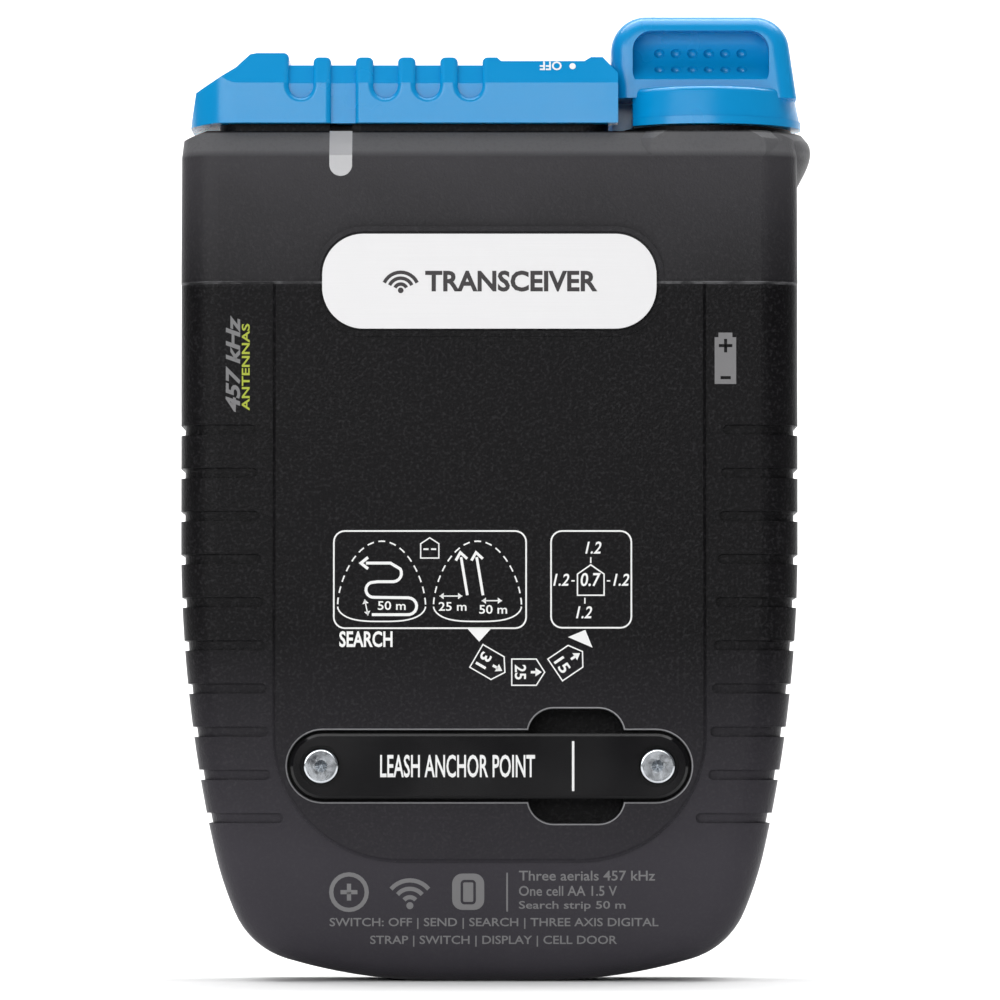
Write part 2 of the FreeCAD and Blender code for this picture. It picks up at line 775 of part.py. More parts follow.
def battery_door_shape(outer, cavity):
    """Corner lid over the cell, with two tongues that slide under the front cover."""
    lid = outer.cut(cavity).common(door_region(dim("door_gap")))
    inside = dim("front_plane") - dim("wall")
    edge = dim("door_edge")
    tongues = []
    for low in TONGUES:
        arm = block(edge - 1.8, edge + 2.5, inside - 1.2, inside - 0.3, low, low + 12)
        root = block(edge + 0.6, edge + 2.5, inside - 0.6, inside + 0.3, low, low + 12)
        tongues.append(arm.fuse(root))
    lid = lid.fuse(tongues)
    x, z = DOOR_LOCK
    lid = lid.cut(rod(3.3, (x, dim("front_plane") - 1.2, z), (x, MARGIN, z)))
    return lid.cut(rod(1.65, (x, 0, z), (x, MARGIN, z)))


case_outer = outer_case().fuse(plinth())
case_inner = case_cavity()
feature("rear_cover", rear_cover_shape(case_outer, case_inner))
feature("front_cover", front_cover_shape(case_outer, case_inner))
feature("case_seal", seal_ring(dim("seal_gap")))
feature("battery_door", battery_door_shape(case_outer, case_inner))


def light_pipe_shape():
    """Blade flush with the case's top edge, and a leg that reaches the lamp."""
    blade = outer_case().common(light_pipe_blade(0.0))
    half = dim("pipe_width") / 2 - 0.3
    middle, low = dim("pipe_centre"), dim("pipe_low") + 0.9
    leg = block(middle - half, middle + half, -6.2, 2.5, low, low + 1.7)
    return blade.fuse(leg)


feature("light_pipe", light_pipe_shape())


# ------------------------------------------------------------------------- sub-parts: the top cover
def cover_block(inset):
    """The blue cover's outer form; inset draws in its roof and long sides."""
    base, left, right = dim("cover_base"), dim("cover_left"), dim("cover_right")
    top, first = dim("cover_top_plane"), dim("first_groove")
    rib_top = top + 0.45
    ridge = top + 1.0 if inset == 0 else rib_top
    outline = [
        (left - 0.3, base - 0.3),
        (left + 0.4, top - 3.7),
        (left + 2.5, top - 2.5),
        (left + 5.2, top - 0.8),
        (left + 6.9, ridge - 0.15),
        (left + 7.7, ridge),
        (first - 0.3, ridge),
        (first + 0.3, rib_top),
        (0.9, rib_top),
        (1.4, top),
        (right - 4.0, top),
        (right - 3.2, top + 0.5),
        (right - 1.8, top + 0.5),
        (right, top - 1.5),
        (right, base),
        (left + 3.0, base),
    ]
    points = [Vector(x, 0, z) for x, z in outline]
    half = dim("cover_half_depth") - inset
    flat = dim("cover_flat_half_depth")
    facet = dim("cover_facet")
    slope = (dim("cover_half_depth") - flat) / (top - facet)
    peak = top + 3.0
    side = [
        Vector(-MARGIN, -half, base - 1),
        Vector(-MARGIN, -half, facet),
        Vector(-MARGIN, -half + slope * (peak - facet), peak),
        Vector(-MARGIN, half - slope * (peak - facet), peak),
        Vector(-MARGIN, half, facet),
        Vector(-MARGIN, half, base - 1),
    ]
    solid = prism(Part.makePolygon(points + points[:1]), -MARGIN, MARGIN)
    solid.translate(Vector(0, 0, -inset))
    roof = Part.Face(Part.makePolygon(side + side[:1])).extrude(Vector(2 * MARGIN, 0, 0))
    return solid.common(roof)


def cover_plan():
    """The cover seen from above: round corners, scooped out round the switch."""
    left, right, half = dim("cover_left"), dim("cover_right"), dim("cover_half_depth")
    solid = block(left - 0.3, right, -half, half, 90, 120)
    solid = solid.makeFillet(5.8, upright_edges(solid, lambda bounds: bounds.XMin < 0))
    axis = dim("knob_axis")
    return solid.cut(rod(dim("knob_sweep") + 0.4, (axis, 0, 80), (axis, 0, 130)))


def cover_grooves():
    """Finger grooves over the roof with round feet; the second runs down to the light pipe."""
    half, low, high = dim("rib_groove_width") / 2, dim("rib_groove_low"), dim("cover_top_plane") + 6
    slots = []
    for i in range(5):
        x = dim("first_groove") + i * dim("rib_pitch")
        foot = low + half if i != 1 else dim("cover_base") - 4
        slot = block(x - half, x + half, -MARGIN, MARGIN, foot, high)
        slots.append(slot.fuse(rod(half, (x, -MARGIN, foot), (x, MARGIN, foot))).removeSplitter())
    return Part.makeCompound(slots)


def groove_mouths(shape):
    """Edges where the finger grooves break out of the cover's roof and sides."""
    inside = cover_block(dim("rib_groove_depth") * 0.5)
    width, pitch = dim("rib_groove_width"), dim("rib_pitch")
    first = dim("first_groove")
    mouths = []
    for edge in shape.Edges:
        middle = edge.valueAt((edge.FirstParameter + edge.LastParameter) / 2)
        if inside.isInside(middle, 0.001, True) or middle.z < dim("cover_base") + 0.01:
            continue
        run = edge.tangentAt((edge.FirstParameter + edge.LastParameter) / 2)
        across = (middle.x - first + pitch / 2) % pitch - pitch / 2
        in_row = first - pitch / 2 < middle.x < first + 4.5 * pitch
        on_wall = abs(abs(across) - width / 2) < 0.01 and abs(run.x) < 0.01
        on_foot = edge.Curve.TypeId != "Part::GeomLine" and abs(across) < width / 2 - 0.01
        if in_row and (on_wall or on_foot):
            mouths.append(edge)
    return mouths


def top_cover_shape():
    shape = cover_block(0.0).common(cover_plan())
    shape = shape.cut(cover_grooves().cut(cover_block(dim("rib_groove_depth"))))
    shape = shape.makeFillet(dim("rib_groove_round"), groove_mouths(shape))
    base, top = dim("cover_base"), dim("cover_top_plane")
    half = dim("cover_half_depth") - 2.2
    hollow = block(dim("cover_left") + 4.0, dim("cover_right") - 4.0, -half, half, base - 1, top - 2.3)
    bosses = [rod(2.4, (x, 0, base), (x, 0, top - 2)) for x in COVER_SCREWS]
    shape = shape.cut(hollow).fuse(bosses)
    for x in COVER_SCREWS:
        shape = shape.cut(rod(0.95, (x, 0, base - 1), (x, 0, base + 5.5)))
    return shape


feature("top_cover", top_cover_shape())


# ------------------------------------------------------------------------ sub-parts: the mode switch
def thumb_block():
    """Upright thumb piece: a rounded outline, faces that lean in, and soft edges all round."""
    axis, top, low = dim("knob_axis"), dim("knob_top"), dim("knob_skirt_top") - 1.1
    left, right = axis + dim("thumb_left"), axis + dim("thumb_right")
    radius, lean = dim("thumb_corner"), dim("thumb_lean")
    sine = math.sin(math.radians(lean))
    rise = (top - low - radius * (1 - sine)) / math.cos(math.radians(lean))
    edges, (x, z) = tangent_edges((right, low), 90 + lean, [(None, rise), (radius, 90 - lean)])
    crown, _ = tangent_edges(
        (x, z), 180, [(None, x - left - radius), (radius, 90), (None, z - radius - low)]
    )
    foot = Part.LineSegment(Vector(left, 0, low), Vector(right, 0, low)).toShape()
    outline = Part.Wire(Part.__sortEdges__(edges + crown + [foot]))
    face_low, face_high = dim("thumb_foot_depth"), dim("thumb_crown_depth")
    side = [
        Vector(0, -face_low, low),
        Vector(0, -face_high, top),
        Vector(0, face_high, top),
        Vector(0, face_low, low),
    ]
    wedge = Part.Face(Part.makePolygon(side + side[:1])).extrude(Vector(2 * MARGIN, 0, 0))
    solid = prism(outline, -MARGIN, MARGIN).common(wedge)
    rim = [e for e in solid.Edges if e.BoundBox.ZMax > low + 0.01 and e.BoundBox.YLength < 5]
    return solid.makeFillet(dim("thumb_round"), rim)


def thumb_dish():
    """Scooped finger dish: deep under its upper lip, running out at its lower one."""
    axis, radius = dim("knob_axis"), dim("dish_radius")
    low, high = dim("dish_low"), dim("dish_high")
    middle = axis + dim("dish_middle")
    mouth = rounded(dim("dish_width"), high - low, 2.4, middle, (low + high) / 2, -MARGIN, 0)
    y = dim("dish_floor") - radius
    return mouth.common(rod(radius, (0, y, high), (MARGIN * 2, y, high)))


def dimples():
    """Two rows of dimples in the floor of the dish."""
    radius = dim("dish_radius")
    first = dim("knob_axis") + dim("dimple_first")
    balls = []
    for z in (dim("dimple_low"), dim("dimple_high")):
        y = dim("dish_floor") - radius + math.sqrt(radius**2 - (z - dim("dish_high")) ** 2)
        for i in range(int(dim("dimple_count"))):
            place = Vector(first + i * dim("dimple_pitch"), y, z)
            balls.append(Part.makeSphere(dim("dimple_radius"), place))
    return balls


def mode_knob_shape():
    axis, base = dim("knob_axis"), dim("knob_base")
    flange_top = base + dim("knob_flange_height")
    skirt_top = dim("knob_skirt_top")
    centre = Vector(axis, 0, flange_top)
    skirt = Part.makeCone(
        dim("knob_flange_radius") - 0.15, dim("knob_waist_radius"), skirt_top - flange_top,
        centre, Vector(0, 0, 1),
    )
    skirt_rim = [e for e in skirt.Edges if e.BoundBox.ZMin > skirt_top - 0.01]
    skirt = skirt.makeFillet(dim("knob_skirt_round"), skirt_rim)
    notch = block(0, axis - 8.9, -MARGIN, 2.0, base - 1.0, skirt_top - 1.1)
    flange = rod(dim("knob_flange_radius"), (axis, 0, base), (axis, 0, flange_top))
    shape = flange.fuse(skirt).cut(notch).fuse(thumb_block())
    hollow = rod(8.4, (axis, 0, base), (axis, 0, base + 3.4))
    hollow = hollow.cut(rod(4.0, (axis, 0, base), (axis, 0, base + 4)))
    shape = shape.cut(hollow).cut(rod(dim("spindle_radius"), (axis, 0, base - 1), (axis, 0, 106.5)))
    shape = shape.cut(thumb_dish())
    for ball in dimples():
        shape = shape.cut(ball)
    return shape


feature("mode_knob", mode_knob_shape())

spindle = cylinder("spindle_stock", "spindle_radius", "13.5", "knob_axis", "0", "93")
clip_groove = cut(
    "clip_groove",
    cylinder("clip_groove_outside", "3", "0.6", "knob_axis", "0", "95.9"),
    cylinder("clip_groove_core", "spindle_radius - 0.4", "0.6", "knob_axis", "0", "95.9"),
)
assemble(cut("knob_spindle", spindle, clip_groove), "knob_spindle")
assemble(
    cut(
        "knob_clip",
        cylinder("clip_disc", "3.6", "0.6", "knob_axis", "0", "95.9"),
        cylinder("clip_hole", "spindle_radius - 0.4", "0.6", "knob_axis", "0", "95.9"),
    ),
    "knob_clip",
)
seal = DOC.addObject("Part::Torus", "knob_seal_ring")
seal.Radius2 = 0.4
bind(seal, "Radius1", "spindle_radius + running_gap + 0.4")
subpart(put(seal, "knob_axis", "0", "case_top - 1.8"), "knob_seal_ring")

rotor = cylinder("rotor_disc", "4.6", "2.6", "knob_axis", "0", "93")
rotor = cut("rotor_bored", rotor, cylinder("rotor_bore", "spindle_radius", "2.6", "knob_axis", "0", "93"))
rotor = cut("rotor_pocketed", rotor, cylinder("rotor_pocket", "1", "1.6", "knob_axis", "3.3", "93"))
for turn in (0, 45, 90):
    angle = math.radians(270 + turn)
    notch = cylinder(
        f"rotor_notch_{turn}", "0.9", "2.6",
        f"knob_axis + {5.2 * math.cos(angle):.4f}", f"{5.2 * math.sin(angle):.4f}", "93",
    )
    rotor = cut(f"rotor_notched_{turn}", rotor, notch)
assemble(rotor, "knob_rotor")
subpart(cylinder("knob_magnet", "1", "1.6", "knob_axis", "3.3", "93", assembled=True), "knob_magnet")
ball = DOC.addObject("Part::Sphere", "detent_ball")
ball.Radius = 0.9
subpart(put(ball, "knob_axis", "-5.55", "94.3"), "detent_ball")


def coil_spring(radius, wire, height, pitch):
    """Round-wire coil along Z from z = 0."""
    helix = Part.makeHelix(pitch, height, radius)
    section = Part.Wire(Part.Circle(Vector(radius, 0, 0), Vector(0, 1, 0), wire).toShape())
    return Part.Wire(helix).makePipeShell([section], True, True)


detent_spring = DOC.addObject("Part::Feature", "detent_spring")
detent_spring.Shape = coil_spring(0.6, 0.12, 1.9, 0.5)
subpart(put(detent_spring, "knob_axis", "-8.5", "94.3", "y"), "detent_spring")

# ---------------------------------------------------------------------- sub-parts: back of the case
badge = slab(
    "badge_plate", rectangle("badge_width", "badge_height", "0", "badge_centre"),
    "badge_face + badge_thickness", "badge_thickness", "badge_corner",
)
subpart(badge, "badge_plate")
bar = slab(
    "leash_bar", ("bar_width", "bar_height", "bar_centre"), "bar_face + bar_thickness", "bar_thickness"
)
bar_ends = [("-screw_spacing / 2", "bar_centre"), ("screw_spacing / 2", "bar_centre")]
bore(bar, "bar_holes", bar_ends, "screw_shank_radius + 0.1")
bore(
    bar, "bar_counterbores", bar_ends, "screw_head_radius + counterbore_gap", "counterbore_depth",
    from_face="bar_thickness",
)
bored_bar = bar.Tip
face_rim = []
for number, edge in enumerate(bored_bar.Shape.Edges, start=1):
    bounds = edge.BoundBox
    on_face = bounds.YMax < -dim("bar_thickness") + 0.001
    if on_face and (edge.Curve.TypeId == "Part::GeomLine" or edge.Curve.Radius > 3.5):
        face_rim.append(f"Edge{number}")
bevel = bar.newObject("PartDesign::Chamfer", "bar_bevel")
bevel.Base = (bored_bar, face_rim)
bind(bevel, "Size", "bar_edge")
subpart(bar, "leash_bar")


def bar_screw(side):
    """Pan-head screw with a six-point socket that ends in a drill point."""
    x, z = side * dim("screw_spacing") / 2, dim("bar_centre")
    seat = dim("bar_face") + dim("counterbore_depth")
    head = rod(dim("screw_head_radius"), (x, seat - 1.2, z), (x, seat, z))
    edge = [e for e in head.Edges if e.BoundBox.YMax < seat - 1.1]
    head = head.makeFillet(0.35, edge)
    shank = rod(dim("screw_shank_radius"), (x, seat, z), (x, dim("parting_plane") + 4.6, z))
    reach = dim("star_radius")
    star = [rod(reach, (x, seat - 3, z), (x, seat - 0.4, z))]
    for i in range(6):
        angle = math.radians(60 * i)
        lobe_x, lobe_z = x + reach * math.cos(angle), z + reach * math.sin(angle)
        star.append(rod(dim("star_lobe_radius"), (lobe_x, seat - 3, lobe_z), (lobe_x, seat - 0.4, lobe_z)))
    star.append(Part.makeCone(reach, 0, 0.5, Vector(x, seat - 0.4, z), Vector(0, 1, 0)))
    return head.fuse(shank).cut(star[0].fuse(star[1:]))


feature("leash_bar_screws", Part.makeCompound([bar_screw(-1), bar_screw(1)]))

inserts = []
for side in ("-", ""):
    tag = "left" if side else "right"
    x = f"{side}screw_spacing / 2"
    y = "parting_plane + 0.2"
    inserts.append(
        cut(
            f"insert_{tag}",
            cylinder(f"insert_body_{tag}", "1.88", "4.5", x, y, "bar_centre", "y"),
            cylinder(f"insert_thread_{tag}", "screw_shank_radius", "4.5", x, y, "bar_centre", "y"),
        )
    )
assemble(group("threaded_inserts", inserts), "threaded_inserts")

screws = []
for i, place in enumerate(COVER_SCREWS):
    low = "case_top - wall"
    head = cylinder(f"cover_screw_head_{i}", "1.9", "1.2", str(place), "0", f"{low} - 1.2")
    shank = cylinder(f"cover_screw_shank_{i}", "0.95", "7.5", str(place), "0", low)
    slot = box(f"cover_screw_slot_{i}", ("2.6", "0.5", "0.6"), (f"{place} - 1.3", "-0.25", f"{low} - 1.2"))
    screws.append(cut(f"cover_screw_{i}", fuse(f"cover_screw_body_{i}", [head, shank]), slot))
assemble(group("top_cover_screws", screws), "top_cover_screws")

# -------------------------------------------------------------------------- sub-parts: electronics
BOARD_BACK = "board_plane"
BOARD_FRONT = "board_plane + board_thickness"
board = slab(
    "main_board",
    [("-29", "30"), ("16.5", "30"), ("16.5", "91.5"), ("32.5", "91.5"), ("32.5", "98.5"),
     ("-33.5", "98.5"), ("-33.5", "45"), ("-29", "36")],
    BOARD_FRONT, "board_thickness",
)
bore(board, "board_holes", [(str(x), str(z)) for x, z in BOARD_SCREWS], "0.9")
subpart(board, "main_board")

screws = []
for i, (x, z) in enumerate(BOARD_SCREWS):
    head = cylinder(f"board_screw_head_{i}", "1.6", "0.9", str(x), "board_plane - 0.9", str(z), "y")
    shank = cylinder(f"board_screw_shank_{i}", "0.8", "3.9", str(x), "board_plane", str(z), "y")
    screws.append(fuse(f"board_screw_{i}", [head, shank]))
assemble(group("board_screws", screws), "board_screws")


def plate(name, width, height, middle_x, middle_z, front, thickness, corner=None):
    return subpart(
        slab(name, rectangle(width, height, middle_x, middle_z), front, thickness, corner), name
    )


display_x, display_z = "-5.5", "77.75"
plate("display_backlight", "38.6", "34.2", display_x, display_z, "7.8", "1.2")
plate("display_panel", "38.6", "34.2", display_x, display_z, "9.05", "1.2")
window = rounded(38.8, 34.3, 2.5, -5.5, 77.75, dim("front_plane") - 1.1, dim("front_plane") - 0.1)
feature("display_window", window)
feature(
    "window_gasket",
    window_opening(0.15, dim("front_plane") - 1.3, dim("front_plane") - 1.1).cut(
        window_opening(1.8, 0, MARGIN)
    ),
)


def button_shape(middle_x):
    """Soft key: cap through the cover, flange behind it and a stem over its dome."""
    inside, z = dim("front_plane") - dim("wall"), dim("button_row")
    width, height = dim("button_width"), dim("button_height")
    front = dim("front_plane")
    face = front + dim("button_rise")
    cap = rounded(width, height, 2.5, middle_x, z, inside - 0.2, face)
    rim = [e for e in cap.Edges if e.BoundBox.YMin > face - 0.05]
    cap = cap.makeFillet(0.5, rim)
    flange = rounded(width + 2.0, height + 2.0, 3.0, middle_x, z, inside - 0.9, inside - 0.1)
    return cap.fuse([flange, rod(1.5, (middle_x, inside - 1.6, z), (middle_x, inside, z))])


for name, middle_x in BUTTONS.items():
    feature(name, button_shape(middle_x))
domes = []
for name, middle_x in BUTTONS.items():
    domes.append(
        cylinder(f"dome_{name}", "2.6", "0.6", str(middle_x), BOARD_FRONT, "button_row", "y")
    )
assemble(group("button_domes", domes), "button_domes")

plate("processor", "9", "9", "-8", "70", BOARD_BACK, "1.1")
plate("shield_can", "15", "12", "-4", "46", BOARD_BACK, "2.2", "0.8")
plate("radio_module", "9", "12", "7", "84", BOARD_BACK, "1.6")
sensors = []
for i, shift in enumerate((-4, 0, 4)):
    corner = (f"knob_axis + {shift} - 1.2", "board_plane - 0.7", "93.4")
    sensors.append(box(f"hall_sensor_{i}", ("2.4", "0.7", "1.6"), corner))
assemble(group("hall_sensors", sensors), "hall_sensors")
led_corner = ("pipe_centre - 0.9", "board_plane - 1", "pipe_low + 1.1")
subpart(box("status_led", ("1.8", "1.0", "1.4"), led_corner, assembled=True), "status_led")
subpart(
    cylinder("buzzer", "6", "3.6", "-19", "board_plane - 3.6", "50", "y", assembled=True), "buzzer"
)

# ----------------------------------------------------------------------------- sub-parts: antennas
subpart(cylinder("antenna_rod_x", "2.6", "46", "-23", "-2", "9.6", "x", assembled=True), "antenna_rod_x")
assemble(
    cut(
        "antenna_coil_x",
        cylinder("coil_x_outside", "3.6", "30", "-15", "-2", "9.6", "x"),
        cylinder("coil_x_inside", "2.6", "30", "-15", "-2", "9.6", "x"),
    ),
    "antenna_coil_x",
)
subpart(cylinder("antenna_rod_z", "3.0", "60", "-29.5", "-2", "32", "z", assembled=True), "antenna_rod_z")
assemble(
    cut(
        "antenna_coil_z",
        cylinder("coil_z_outside", "4.2", "42", "-29.5", "-2", "41", "z"),
        cylinder("coil_z_inside", "3.05", "42", "-29.5", "-2", "41", "z"),
    ),
    "antenna_coil_z",
)
subpart(
    cylinder("antenna_core_y", "8", "6", "-6", "-7", "58", "y", assembled=True), "antenna_core_y"
)
assemble(
    cut(
        "antenna_coil_y",
        cylinder("coil_y_outside", "10", "4.4", "-6", "-6.2", "58", "y"),
        cylinder("coil_y_inside", "8", "4.4", "-6", "-6.2", "58", "y"),
    ),
    "antenna_coil_y",
)


# ------------------------------------------------------------------------- sub-parts: battery bay
def battery_tray_shape():
    """Open trough behind the cell, with its two long back edges rounded to clear the case."""
    wall, back, front = dim("tray_wall"), dim("tray_back"), dim("tray_front")
    left, right = dim("cell_x") - dim("tray_half_width"), dim("cell_x") + dim("tray_half_width")
    low, high = dim("tray_low"), dim("tray_high")
    trough = block(left, right, back, front, low, high)
    trough = trough.makeFillet(1.8, upright_edges(trough, lambda bounds: bounds.YMax < 0))
    inside = block(left + wall, right - wall, back + 0.5, front + 1, low + 0.8, high - 0.8)
    inside = inside.makeFillet(1.3, upright_edges(inside, lambda bounds: bounds.YMax < 0))
    return trough.cut(inside)


feature("battery_tray", battery_tray_shape())
can = cylinder("cell_can", "cell_radius", "cell_length - 1.2", "cell_x", "cell_y", "cell_low")
tip = cylinder("cell_tip", "2.6", "1.2", "cell_x", "cell_y", "cell_low + cell_length - 1.2")
assemble(fuse("battery_cell", [can, tip]), "battery_cell")
subpart(
    box("battery_plate", ("8", "8", "0.4"), ("cell_x - 4", "cell_y - 4", "89.2"), assembled=True),
    "battery_plate",
)
leaf_low = "tray_low + 0.8"
leaf = slab(
    "battery_spring",
    [
        ("cell_x - 4", leaf_low),
        ("cell_x + 4", leaf_low),
        ("cell_x + 4", f"{leaf_low} + 0.7"),
        ("cell_x + 0.6", "cell_low"),
        ("cell_x - 0.6", "cell_low"),
        ("cell_x - 3.4", "cell_low - 1.2"),
        ("cell_x - 3.1", "cell_low - 1.45"),
        ("cell_x - 0.55", "cell_low - leaf_thickness"),
        ("cell_x + 0.5", "cell_low - leaf_thickness"),
        ("cell_x + 3.6", f"{leaf_low} + 0.5"),
        ("cell_x + 3.6", f"{leaf_low} + leaf_thickness"),
        ("cell_x - 4", f"{leaf_low} + leaf_thickness"),
    ],
    "cell_y + 3", "6",
)
subpart(leaf, "battery_spring")
seal_outside = box("door_seal_outside", ("15.6", "0.9", "55.8"), ("17.9", "6.7", "34.7"))
seal_inside = box("door_seal_inside", ("14.2", "0.9", "54.4"), ("18.6", "6.7", "35.4"))
assemble(cut("door_seal", seal_outside, seal_inside), "door_seal")


def door_lock_shape():
    """Coin-slotted quarter-turn lock with a cam under the front cover's edge."""
    x, z = DOOR_LOCK
    front = dim("front_plane")
    head = rod(3.15, (x, front - 1.15, z), (x, front - 0.1, z))
    head = head.cut(block(x - 2.4, x + 2.4, front - 0.8, front, z - 0.5, z + 0.5))
    stem = rod(1.55, (x, front - 3.3, z), (x, front - 1.15, z))
    cam = block(x - 6.5, x + 1.8, front - 3.6, front - 2.5, z - 1.8, z + 1.8)
    return head.fuse([stem, cam])


feature("door_lock", door_lock_shape())

# -------------------------------------------------------------------------------- checks and export
DOC.recompute()
for obj in DOC.Objects:
    if "Invalid" in obj.State or "Error" in obj.State:
        raise RuntimeError(f"{obj.Name} failed: {obj.State}")
for obj in SUBPARTS:
    if obj.Shape.isNull() or not obj.Shape.isValid():
        raise RuntimeError(f"{obj.Label} has no valid shape")
os.makedirs("parts", exist_ok=True)
for obj in SUBPARTS:
    obj.Shape.exportStep(f"parts/{obj.Label}.step")
print(len(SUBPARTS), "sub-parts")
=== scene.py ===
import json
import math
import bmesh
import bpy
from mathutils import Matrix, Vector
from mathutils.bvhtree import BVHTree


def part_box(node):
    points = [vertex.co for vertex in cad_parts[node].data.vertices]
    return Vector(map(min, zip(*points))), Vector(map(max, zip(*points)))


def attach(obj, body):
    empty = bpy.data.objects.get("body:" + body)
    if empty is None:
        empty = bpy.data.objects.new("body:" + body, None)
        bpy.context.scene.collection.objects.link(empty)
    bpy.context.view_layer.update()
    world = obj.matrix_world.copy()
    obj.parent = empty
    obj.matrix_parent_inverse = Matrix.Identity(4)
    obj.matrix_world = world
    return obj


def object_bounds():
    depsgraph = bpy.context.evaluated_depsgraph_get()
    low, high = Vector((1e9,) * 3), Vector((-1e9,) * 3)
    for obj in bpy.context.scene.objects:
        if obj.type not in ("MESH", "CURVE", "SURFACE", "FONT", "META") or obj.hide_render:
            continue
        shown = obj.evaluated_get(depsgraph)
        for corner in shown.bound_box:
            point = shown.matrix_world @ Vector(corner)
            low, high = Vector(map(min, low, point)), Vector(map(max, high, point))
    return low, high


# Avalanche transceiver seen from its back. Metres, in the CAD frame: X across, Y from the back to
# the front, Z up. Graphics are laid out in millimetres from the case's centre plane and its base.

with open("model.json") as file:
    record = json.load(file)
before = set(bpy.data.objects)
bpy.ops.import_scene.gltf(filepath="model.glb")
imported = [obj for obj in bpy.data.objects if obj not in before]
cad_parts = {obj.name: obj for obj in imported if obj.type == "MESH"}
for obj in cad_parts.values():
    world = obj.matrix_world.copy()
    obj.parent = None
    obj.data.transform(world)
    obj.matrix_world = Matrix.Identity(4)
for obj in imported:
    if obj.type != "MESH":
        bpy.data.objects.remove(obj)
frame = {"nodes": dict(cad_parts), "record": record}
cad_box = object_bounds()
NODES = frame["nodes"]
MM = 0.001

badge_low, badge_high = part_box("badge_plate")
CASE_X = (badge_low.x + badge_high.x) / 2


# ------------------------------------------------------------------------------ material nodes
class Shader:
    """A Principled material under construction, with short names for the nodes used here."""

    def __init__(self, name, colour, roughness, metallic=0.0, **sockets):
        self.material = bpy.data.materials.new(name)
        self.material.use_nodes = True
        self.tree = self.material.node_tree
        self.surface = self.tree.nodes["Principled BSDF"]
        self.set("Base Color", (*colour, 1.0))
        self.set("Roughness", roughness)
        self.set("Metallic", metallic)
        for socket, value in sockets.items():
            self.set(socket.replace("_", " "), value)
        self.place = self.tree.nodes.new("ShaderNodeTexCoord").outputs["Object"]

    def set(self, socket, value):
        """Give a shader socket a constant."""
        self.surface.inputs[socket].default_value = value

    def link(self, output, socket):
        """Drive a shader socket from another node."""
        self.tree.links.new(output, self.surface.inputs[socket])

    def node(self, kind, **settings):
        node = self.tree.nodes.new(kind)
        for key, value in settings.items():
            setattr(node, key, value)
        return node

    def stretched(self, scale):
        """The surface point, scaled along each axis."""
        mapping = self.node("ShaderNodeMapping")
        mapping.inputs["Scale"].default_value = scale
        self.tree.links.new(self.place, mapping.inputs["Vector"])
        return mapping.outputs["Vector"]

    def noise(self, scale, detail=3.0, vector=None, roughness=0.5):
        node = self.node("ShaderNodeTexNoise")
        node.inputs["Scale"].default_value = scale
        node.inputs["Detail"].default_value = detail
        node.inputs["Roughness"].default_value = roughness
        self.tree.links.new(vector or self.place, node.inputs["Vector"])
        return node.outputs["Fac"]

    def span(self, value, low, high, to_low, to_high):
        """Map a value from one range onto another, clamped."""
        node = self.node("ShaderNodeMapRange")
        limits = {"From Min": low, "From Max": high, "To Min": to_low, "To Max": to_high}
        for key, number in limits.items():
            node.inputs[key].default_value = number
        self.tree.links.new(value, node.inputs["Value"])
        return node.outputs["Result"]

    def math(self, operation, first, second):
        node = self.node("ShaderNodeMath", operation=operation)
        for socket, value in zip(node.inputs, (first, second)):
            if isinstance(value, (int, float)):
                socket.default_value = value
            else:
                self.tree.links.new(value, socket)
        return node.outputs["Value"]

    def times(self, first, second):
        return self.math("MULTIPLY", first, second)

    def blend(self, factor, first, second):
        """Mix two colours by a factor; each is a triple or another node's colour."""
        node = self.node("ShaderNodeMix", data_type="RGBA")
        self.tree.links.new(factor, node.inputs["Factor"])
        for name, colour in (("A", first), ("B", second)):
            socket = next(i for i in node.inputs if i.name == name and i.type == "RGBA")
            if isinstance(colour, tuple):
                socket.default_value = (*colour, 1.0)
            else:
                self.tree.links.new(colour, socket)
        return next(o for o in node.outputs if o.type == "RGBA")

    def within(self, value, low, high, soft=0.0001):
        """1 where a value lies between two limits, with soft ends."""
        rise = self.span(value, low - soft, low + soft, 0.0, 1.0)
        fall = self.span(value, high - soft, high + soft, 1.0, 0.0)
        return self.times(rise, fall)

    def axis(self, name):
        """One coordinate of the surface point: X, Y or Z."""
        split = self.node("ShaderNodeSeparateXYZ")
        self.tree.links.new(self.place, split.inputs["Vector"])
        return split.outputs[name]

    def bump(self, height, strength, distance):
        node = self.node("ShaderNodeBump")
        node.inputs["Strength"].default_value = strength
        node.inputs["Distance"].default_value = distance
        self.tree.links.new(height, node.inputs["Height"])
        self.tree.links.new(node.outputs["Normal"], self.surface.inputs["Normal"])


def moulded(name, colour, roughness, grain, strength, variation=0.12, **sockets):
    """Moulded plastic: fine grain in relief and slow changes of colour and gloss."""
    shader = Shader(name, colour, roughness, **sockets)
    cloud = shader.noise(90.0, 4.0)
    dark = tuple(c * (1 - variation) for c in colour)
    light = tuple(min(1.0, c * (1 + variation)) for c in colour)
    shader.link(shader.blend(cloud, dark, light), "Base Color")
    shader.link(shader.span(cloud, 0.3, 0.7, roughness - 0.04, roughness + 0.05), "Roughness")
    shader.bump(shader.noise(grain, 2.0), strength, 0.00005)
    return shader.material


def brushed(name, colour, roughness, metallic, axis_scale, strength=0.25):
    """Brushed metal: long streaks along one direction."""
    shader = Shader(name, colour, roughness, metallic)
    streaks = shader.noise(1.0, 4.0, shader.stretched(axis_scale), 0.7)
    dark = tuple(c * 0.9 for c in colour)
    shader.link(shader.blend(streaks, dark, colour), "Base Color")
    shader.link(shader.span(streaks, 0.3, 0.7, roughness - 0.08, roughness + 0.08), "Roughness")
    shader.bump(streaks, strength, 0.00003)
    return shader.material


